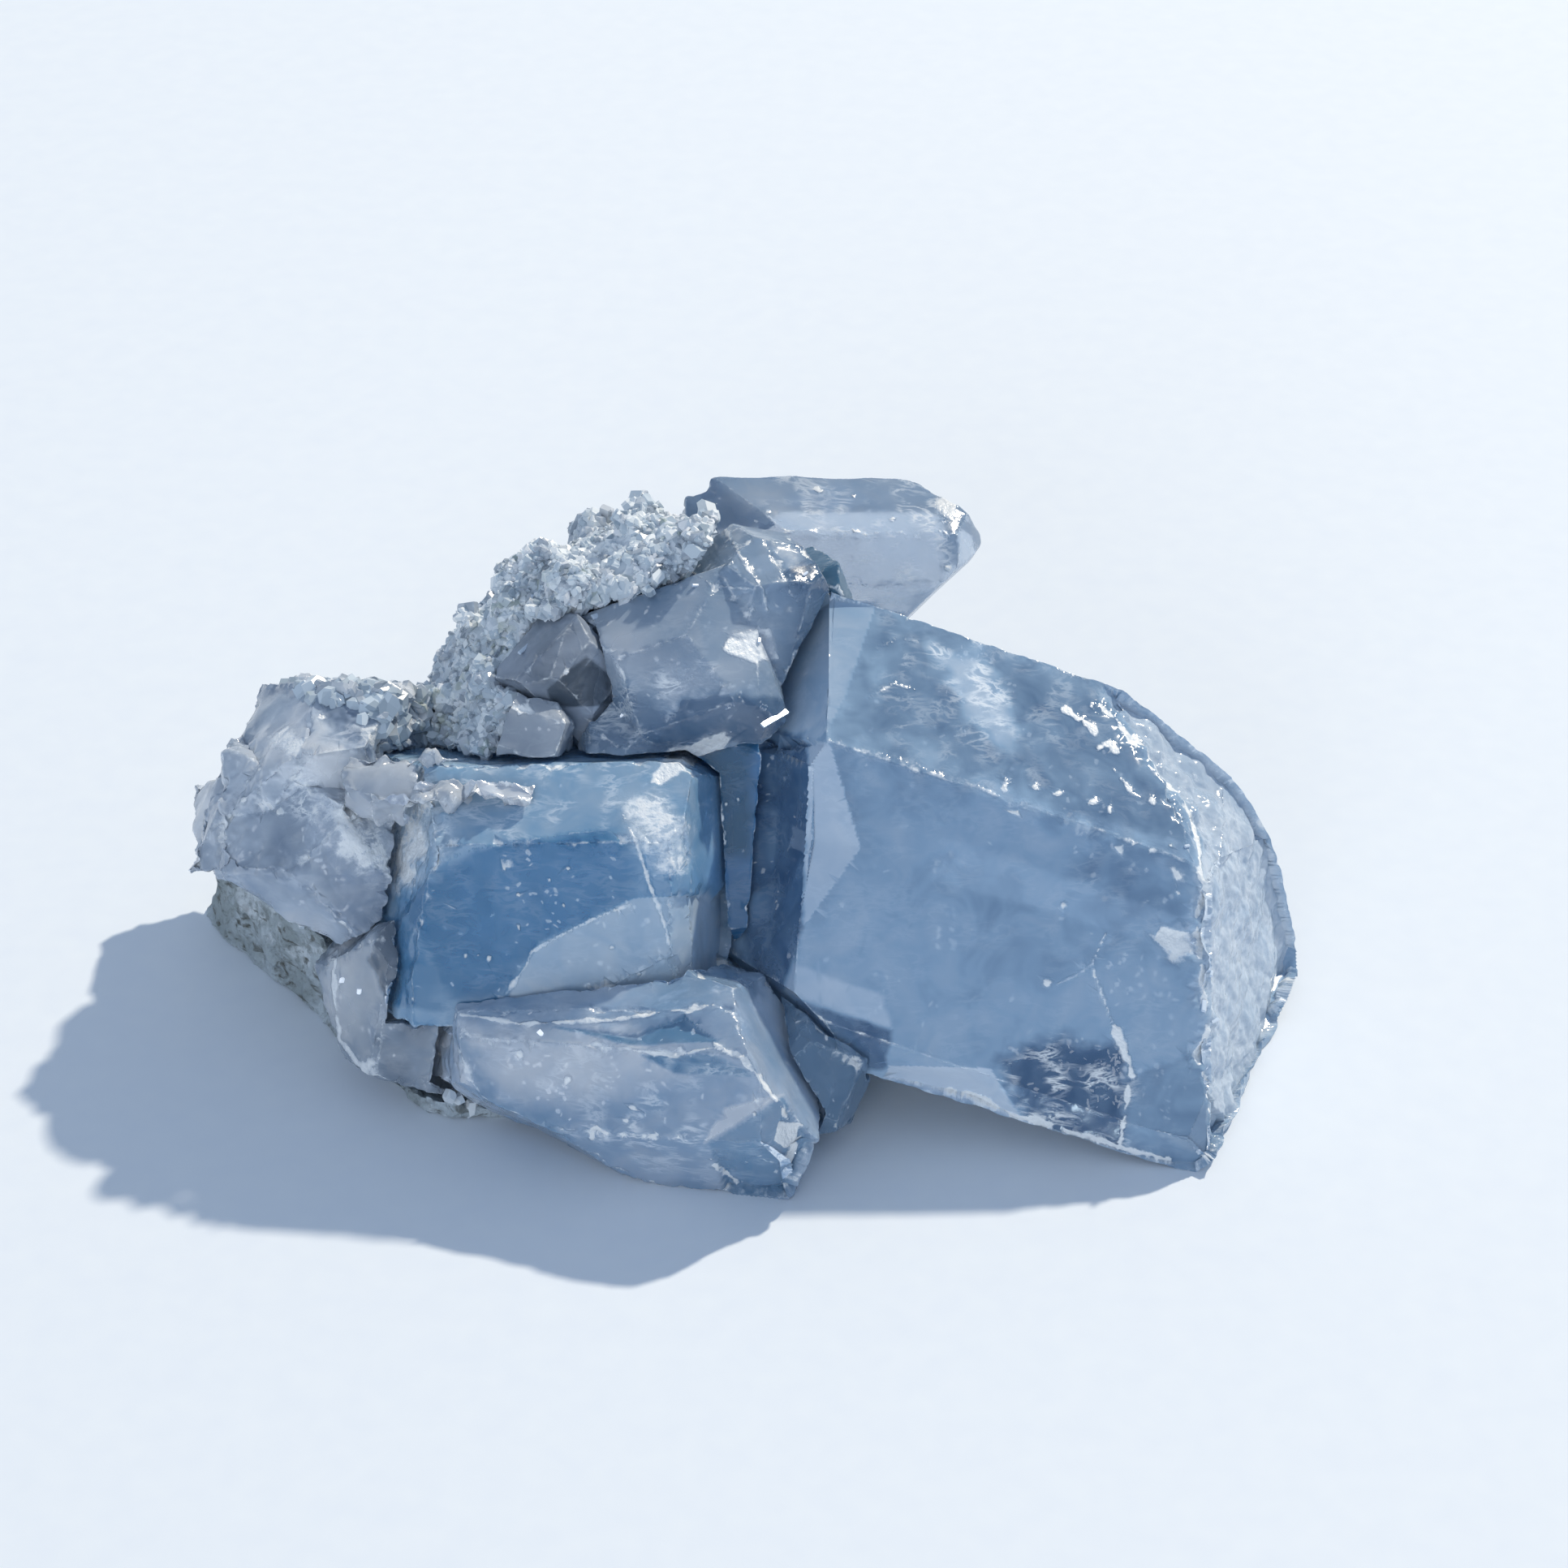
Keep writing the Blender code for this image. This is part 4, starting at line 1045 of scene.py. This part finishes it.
def scattered_growth():
    """Scatter small shapes over a surface, thicker where its growth value is high, each tilted at random."""
    growth = Growth("scattered_growth", {
        "Shape": "Object", "Material": "Material", "Per square metre": "Float", "Smallest": "Float",
        "Largest": "Float", "Tilt": "Float", "Depth": "Float", "Seed": "Int",
    })
    given = growth.given
    thickness = growth.node(
        "GeometryNodeInputNamedAttribute", {"data_type": "FLOAT"}, {"Name": "growth"}, "Attribute",
    )
    scatter = growth.node(
        "GeometryNodeDistributePointsOnFaces", {},
        {"Mesh": given["Geometry"], "Density": growth.times(given["Per square metre"], thickness),
         "Seed": given["Seed"]}, None,
    )
    inwards = growth.times(growth.between(0.0, given["Depth"], given["Seed"]), -1.0)
    shift = growth.node(
        "ShaderNodeVectorMath", {"operation": "SCALE"}, {0: scatter["Normal"], "Scale": inwards},
    )
    points = growth.node("GeometryNodeSetPosition", {}, {"Geometry": scatter["Points"], "Offset": shift})
    shape = growth.node("GeometryNodeObjectInfo", {}, {"Object": given["Shape"]}, "Geometry")
    tilt = given["Tilt"]
    against = growth.times(tilt, -1.0)
    most = growth.node("ShaderNodeCombineXYZ", {}, {0: tilt, 1: tilt, 2: math.pi})
    least = growth.node("ShaderNodeCombineXYZ", {}, {0: against, 1: against, 2: -math.pi})
    lean = growth.node(
        "FunctionNodeRandomValue", {"data_type": "FLOAT_VECTOR"}, {0: least, 1: most, "Seed": given["Seed"]},
    )
    lean = growth.node("FunctionNodeEulerToRotation", {}, {0: lean})
    turn = growth.node(
        "FunctionNodeRotateRotation", {"rotation_space": "LOCAL"}, {0: scatter["Rotation"], 1: lean},
    )
    size = growth.between(given["Smallest"], given["Largest"], given["Seed"])
    placed = growth.node("GeometryNodeInstanceOnPoints", {}, {
        "Points": points, "Instance": shape, "Rotation": turn, "Scale": size,
    })
    real = growth.node("GeometryNodeRealizeInstances", {}, {0: placed})
    dressed = growth.node("GeometryNodeSetMaterial", {}, {"Geometry": real, "Material": given["Material"]})
    return growth.finish(dressed)


CHISEL_REACH = 0.86


def small_crystal(name, length, width, thickness):
    """One small bladed crystal with chisel ends, a pattern for the druse's grains and for inner flecks."""
    bm = bmesh.new()
    bmesh.ops.create_cube(bm, size=2.0)
    bmesh.ops.scale(bm, verts=bm.verts, vec=(width * MM, thickness * MM, length * MM))
    for side in (1, -1):
        for slope in ((side * 0.8, 0.0, 1.0), (0.0, side * 0.9, 1.0), (side * 1.0, side * 0.9, 0.15)):
            normal = Vector(slope).normalized()
            reach = Vector((abs(normal.x) * width, abs(normal.y) * thickness, abs(normal.z) * length)).length
            rim = bmesh.ops.bisect_plane(
                bm, geom=bm.verts[:] + bm.edges[:] + bm.faces[:],
                plane_co=normal * reach * CHISEL_REACH * MM, plane_no=normal, clear_outer=True,
            )["geom_cut"]
            edges = [item for item in rim if isinstance(item, bmesh.types.BMEdge)]
            if edges:
                bmesh.ops.holes_fill(bm, edges=edges)
    bmesh.ops.recalc_face_normals(bm, faces=bm.faces)
    mesh = bpy.data.meshes.new(name)
    bm.to_mesh(mesh)
    bm.free()
    pattern = bpy.data.objects.new(name, mesh)
    bpy.context.scene.collection.objects.link(pattern)
    return pattern


def growing_ground(mesh, thickness):
    """A copy of a mesh with a growth value on each point, from a function of the points in millimetres."""
    ground = mesh.copy()
    points = np.zeros(len(ground.vertices) * 3)
    ground.vertices.foreach_get("co", points)
    values = thickness(points.reshape(-1, 3) / MM)
    ground.attributes.new("growth", "FLOAT", "POINT").data.foreach_set("value", values.astype(np.float32))
    return ground


DRUSE_ON_WEST = ((340, 830), (520, 790), (640, 790), (600, 905), (520, 930), (430, 880), (370, 850))
GRAINS_IN_GAP = ((520, 1200), (600, 1220), (640, 1330), (560, 1370), (500, 1330))
DRUSE_TILT = 62.0
DRUSE_DEPTH = 0.25
WEST_DRUSE_FROM = 12.0
ROCK_DRUSE_FROM = 6.0


def growth_on_crust(points):
    """How thickly grains grow on the crust."""
    return np.clip(0.75 + 0.6 * soft_noise(points, 5.0), 0.1, 1)


def growth_on_west(points):
    """How thickly grains grow on the left end: on its top alone."""
    return 1.0 * within(in_photo(points), DRUSE_ON_WEST) * (points[:, 2] > WEST_DRUSE_FROM)


def growth_on_rock(points):
    """How thickly grains grow on the marl: in scattered spots, and densely in the gap at the front."""
    spots = np.clip(2.2 * soft_noise(points, 6.0) - 0.3, 0, 1) * (points[:, 2] > ROCK_DRUSE_FROM)
    return np.clip(spots + 3.0 * within(in_photo(points), GRAINS_IN_GAP) * (points[:, 1] < 0), 0, 3)


def druse(growth, crust, west, rock):
    """The druse's small crystals, on their crust, on the left end's top and here and there on the marl."""
    patterns = {
        "block": small_crystal("block", 0.62, 0.52, 0.42),
        "blade": small_crystal("blade", 0.95, 0.50, 0.26),
        "splinter": small_crystal("splinter", 0.95, 0.28, 0.22),
    }
    finishes = {
        "milky": grainy_druse("druse_milky", srgb(200, 213, 224), srgb(240, 246, 250), 0.95, 3),
        "clear": grainy_druse("druse_clear", srgb(208, 222, 238), srgb(242, 247, 253), 0.70, 5),
        "grey": grainy_druse("druse_grey", srgb(158, 174, 188), srgb(204, 218, 230), 0.88, 9),
    }
    on_crust = growing_ground(crust, growth_on_crust)
    on_west = growing_ground(west, growth_on_west)
    on_rock = growing_ground(rock, growth_on_rock)
    for name, ground, pattern, finish, density, sizes, seed in (
        ("druse_blocks", on_crust, "block", "milky", 2.6, (0.3, 0.95), 1),
        ("druse_blades", on_crust, "blade", "clear", 2.0, (0.3, 0.9), 2),
        ("druse_splinters", on_crust, "splinter", "milky", 1.4, (0.3, 0.9), 3),
        ("druse_grey_grains", on_crust, "block", "grey", 0.9, (0.3, 0.9), 4),
        ("west_blocks", on_west, "block", "grey", 1.1, (0.6, 1.7), 5),
        ("west_blades", on_west, "blade", "clear", 0.9, (0.5, 1.3), 6),
        ("rock_grains", on_rock, "block", "milky", 0.5, (0.3, 0.9), 7),
    ):
        grown = growth.grow(ground, {
            "Shape": patterns[pattern], "Material": finishes[finish], "Per square metre": density / MM**2,
            "Smallest": sizes[0], "Largest": sizes[1], "Tilt": math.radians(DRUSE_TILT),
            "Depth": DRUSE_DEPTH * MM, "Seed": SEED + seed,
        })
        set_in_place(name, grown)
    for pattern in patterns.values():
        bpy.data.objects.remove(pattern)


# Healed cracks sealed in the crystals: four corners each, as a pixel and how deep under the face it lies
# there, and how many flecks a square millimetre of it has
HEALED_CRACKS = {
    "large_crystal": {
        "top_crack": (((1140, 790, 0.6), (1215, 795, 0.6), (1270, 905, 1.8), (1185, 925, 1.8)), 9.0),
        "middle_wisp": (((1148, 1050, 3.0), (1182, 1050, 6.0), (1178, 1165, 6.0), (1142, 1165, 3.0)), 2.0),
        "fracture_crack": (((1362, 1150, 0.4), (1440, 1180, 6.0), (1450, 1390, 6.0), (1377, 1405, 0.4)), 3.0),
        "crackled_sheet": (((1250, 1290, 0.5), (1390, 1285, 1.5), (1385, 1375, 1.2), (1280, 1355, 0.5)), 8.0),
        "right_wisp": (((1300, 960, 1.0), (1400, 990, 3.0), (1420, 1120, 4.0), (1320, 1110, 2.0)), 2.0),
    },
    "left_crystal": {
        "deep_sheet": (((620, 1050, 0.6), (760, 1035, 1.6), (770, 1120, 2.6), (640, 1150, 2.2)), 3.0),
        "end_sheet": (((700, 1120, 0.8), (820, 1090, 0.8), (825, 1190, 2.0), (700, 1220, 2.0)), 1.6),
    },
    "front_crystal": {
        "streaks": (((600, 1290, 0.6), (820, 1310, 0.6), (860, 1420, 1.4), (700, 1380, 1.4)), 4.0),
        "tip_sheet": (((890, 1400, 1.0), (960, 1370, 1.0), (985, 1440, 1.5), (910, 1455, 1.5)), 2.0),
    },
}
FLECK_SIZES = (0.10, 0.42)
FLECK_GROUND = 0.86
FLECK_DEPTH = 2.5
FLECK_SEED = SEED + 11
CRACK_DEPTH = 0.15
CRACK_STEPS = 28
CRACK_BEND = 0.5


def healed_crack(tree, corners):
    """A thin bent sheet under a crystal's face, in metres, or nothing where a line of sight misses."""
    spots = []
    for across, down, under in corners:
        way = sight((across, down))
        hit = tree.ray_cast(EYE, way)[0]
        if hit is None:
            return None
        spots.append(hit + way * under)
    bm = bmesh.new()
    bmesh.ops.create_grid(bm, x_segments=CRACK_STEPS, y_segments=CRACK_STEPS, size=0.5)
    for vert in bm.verts:
        along, over = vert.co.x + 0.5, vert.co.y + 0.5
        upper = spots[0].lerp(spots[1], along)
        lower = spots[3].lerp(spots[2], along)
        spot = upper.lerp(lower, over)
        bend = noise.noise_vector(spot / 2.5) + 0.5 * noise.noise_vector(spot / 0.9)
        vert.co = (spot + bend * CRACK_BEND) * MM
    sheet = bpy.data.meshes.new("healed_crack")
    bm.to_mesh(sheet)
    bm.free()
    return sheet


def wispy(points):
    """Where a healed crack is cloudy."""
    return np.clip(1.6 - 9 * np.abs(soft_noise(points, 2.4, 4)), 0, 1)


def sealed_flecks(growth, finish):
    """The white flecks and healed cracks inside each crystal, joined to one piece for each."""
    flake = small_crystal("flake", 0.5, 0.35, 0.10)
    for node, habit in CRYSTALS.items():
        bm = bench_copy(node)
        tree = BVHTree.FromBMesh(bm)
        low, high = (Vector(corner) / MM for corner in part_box(node))
        middle = (low + high) / 2
        bmesh.ops.scale(bm, verts=bm.verts, vec=(FLECK_GROUND,) * 3, space=Matrix.Translation(-middle))
        bmesh.ops.scale(bm, verts=bm.verts, vec=(MM, MM, MM))
        shrunk = bpy.data.meshes.new("shrunk")
        bm.to_mesh(shrunk)
        area = sum(face.calc_area() for face in bm.faces)
        bm.free()
        even = growing_ground(shrunk, lambda points: np.ones(len(points)))
        grounds = [(even, habit["flecks"] / area, FLECK_DEPTH)]
        for corners, density in HEALED_CRACKS.get(node, {}).values():
            sheet = healed_crack(tree, corners)
            if sheet:
                grounds.append((growing_ground(sheet, wispy), density / MM**2, CRACK_DEPTH))
        joined = bmesh.new()
        for number, (ground, density, depth) in enumerate(grounds):
            if density:
                grown = growth.grow(ground, {
                    "Shape": flake, "Material": finish, "Per square metre": density,
                    "Smallest": FLECK_SIZES[0], "Largest": FLECK_SIZES[1], "Tilt": math.pi,
                    "Depth": depth * MM, "Seed": FLECK_SEED + number,
                })
                joined.from_mesh(grown)
        mesh = bpy.data.meshes.new(f"{node}_flecks")
        joined.to_mesh(mesh)
        joined.free()
        if len(mesh.polygons):
            mesh.materials.append(finish)
            set_in_place(f"{node}_flecks", mesh)
    bpy.data.objects.remove(flake)


# Small facets that throw the key light at the viewer: a pixel, a length and a width in millimetres, and the
# slope of the length in the photograph's frame, in degrees
GLINTS = {
    "cleft_bar": ((954, 886), 2.3, 0.36, 31),
    "end_spark_1": ((1483, 1240), 0.9, 0.30, 80),
    "end_spark_2": ((1496, 1258), 0.7, 0.25, 20),
    "end_spark_3": ((1470, 1160), 0.5, 0.25, 50),
    "end_spark_4": ((1492, 1200), 0.5, 0.20, 70),
    "end_spark_5": ((1462, 1043), 0.4, 0.20, 10),
    "druse_spark_1": ((659, 737), 0.5, 0.45, 0),
    "druse_spark_2": ((683, 738), 0.6, 0.35, 40),
    "druse_spark_3": ((703, 742), 0.6, 0.25, 50),
    "druse_spark_4": ((733, 760), 0.5, 0.35, 20),
    "druse_spark_5": ((728, 772), 0.5, 0.30, 70),
    "druse_spark_6": ((646, 800), 1.2, 0.25, 45),
    "druse_spark_7": ((626, 783), 0.4, 0.35, 0),
    "druse_spark_8": ((880, 656), 0.5, 0.35, 10),
    "druse_spark_9": ((857, 722), 0.5, 0.20, 0),
    "chip_spark": ((935, 790), 0.4, 0.2, 80),
}


GLINT_LIFT = 0.05
GLINT_THICKNESS = 0.16
GLINT_BEVEL = 0.04


def glints(pieces):
    """Thin clear blades set on the crystals so that each mirrors the key light towards the viewer."""
    finish = Finish("bright_facets")
    fine = finish.cloud(0.4)
    blade_finish = finish.done(finish.surface(
        Base_Color=srgb(206, 222, 240), Roughness=0.06 + fine * 0.04, IOR=CELESTITE_IOR, Coat_Weight=1.0,
    ))
    mirror = (toward(*KEY_FROM) + TO_CAMERA).normalized()
    trees = []
    for piece in pieces:
        bm = bmesh.new()
        bm.from_mesh(piece.data)
        bmesh.ops.scale(bm, verts=bm.verts, vec=(1 / MM, 1 / MM, 1 / MM))
        trees.append(BVHTree.FromBMesh(bm))
        bm.free()
    joined = bmesh.new()
    for pixel, length, width, turn in GLINTS.values():
        way = sight(pixel)
        hits = [hit for hit in (tree.ray_cast(EYE, way)[0] for tree in trees) if hit]
        if not hits:
            continue
        spot = min(hits, key=lambda hit: (hit - EYE).length)
        drawn = TO_RIGHT * math.cos(math.radians(turn)) + TO_TOP * math.sin(math.radians(turn))
        along = TO_CAMERA.cross(drawn).cross(mirror).normalized()
        turned = Matrix((along, mirror.cross(along), mirror)).transposed().to_4x4()
        place = Matrix.Translation(spot + mirror * GLINT_LIFT) @ turned
        stretched = Matrix.Diagonal((length, width, GLINT_THICKNESS, 1))
        made = bmesh.ops.create_cube(joined, size=1.0, matrix=place @ stretched)
        edges = list(dict.fromkeys(edge for vert in made["verts"] for edge in vert.link_edges))
        bmesh.ops.bevel(joined, geom=edges, offset=GLINT_BEVEL, segments=1, affect="EDGES")
    return stand("bright_facets", joined, None, blade_finish)


def stage():
    """The pale floor, the lights, the sky and the camera."""
    scene = bpy.context.scene
    bpy.ops.mesh.primitive_plane_add(size=FLOOR_WIDTH * MM, location=(0, 0, 0))
    floor = bpy.context.object
    floor.name = "pale_floor"
    floor.data.materials.append(paper())

    for name, where, size, power, colour in (
        ("key", KEY_FROM, KEY_SIZE, KEY_POWER, KEY_COLOUR),
        ("fill", FILL_FROM, FILL_SIZE, FILL_POWER, FILL_COLOUR),
    ):
        data = bpy.data.lights.new(name, "AREA")
        data.shape = "DISK"
        data.size = size * MM
        data.energy = power
        data.color = colour
        lamp = bpy.data.objects.new(name, data)
        scene.collection.objects.link(lamp)
        way = toward(*where)
        lamp.location = way * LAMP_DISTANCE * MM
        lamp.rotation_euler = way.to_track_quat("Z", "Y").to_euler()
        # The faces mirror the key and the sky alone
        lamp.visible_glossy = name == "key"

    world = bpy.data.worlds.new("sky")
    scene.world = world
    world.use_nodes = True
    background = world.node_tree.nodes["Background"]
    background.inputs["Color"].default_value = (*SKY, 1)
    background.inputs["Strength"].default_value = 1.0

    data = bpy.data.cameras.new("camera")
    data.lens = LENS
    data.clip_start = 0.01
    camera = bpy.data.objects.new("camera", data)
    scene.collection.objects.link(camera)
    camera.location = EYE * MM
    camera.rotation_euler = TO_CAMERA.to_track_quat("Z", "Y").to_euler()
    scene.camera = camera
    scene.view_settings.view_transform = "Standard"
    scene.cycles.max_bounces = 7
    scene.cycles.diffuse_bounces = 2
    scene.cycles.glossy_bounces = 2
    scene.cycles.transmission_bounces = 6
    scene.cycles.caustics_reflective = False
    scene.cycles.sample_clamp_indirect = 8.0


FINISH_SHIFT = 7.0


def build():
    """The whole specimen on its stage; each crystal's pattern is shifted, so that no two are alike."""
    stage()
    crystals = {}
    for seed, (node, habit) in enumerate(CRYSTALS.items(), 1):
        finish = celestite(
            f"{node}_finish", *habit["colours"], habit["haze"], habit["depth"], habit["absorbing"],
            FINISH_SHIFT * seed,
        )
        crystals[node] = grown_crystal(node, finish)
    rock = rough_rock(marl())
    crust = rough_crust(grainy_druse("druse_bed", srgb(188, 200, 212), srgb(226, 234, 242), 1.0, 2))
    growth = scattered_growth()
    druse(growth, crust.data, crystals["west_cluster"].data, rock.data)
    sealed_flecks(growth, sealed_white_painted_glow())
    glints([*crystals.values(), crust])


build()
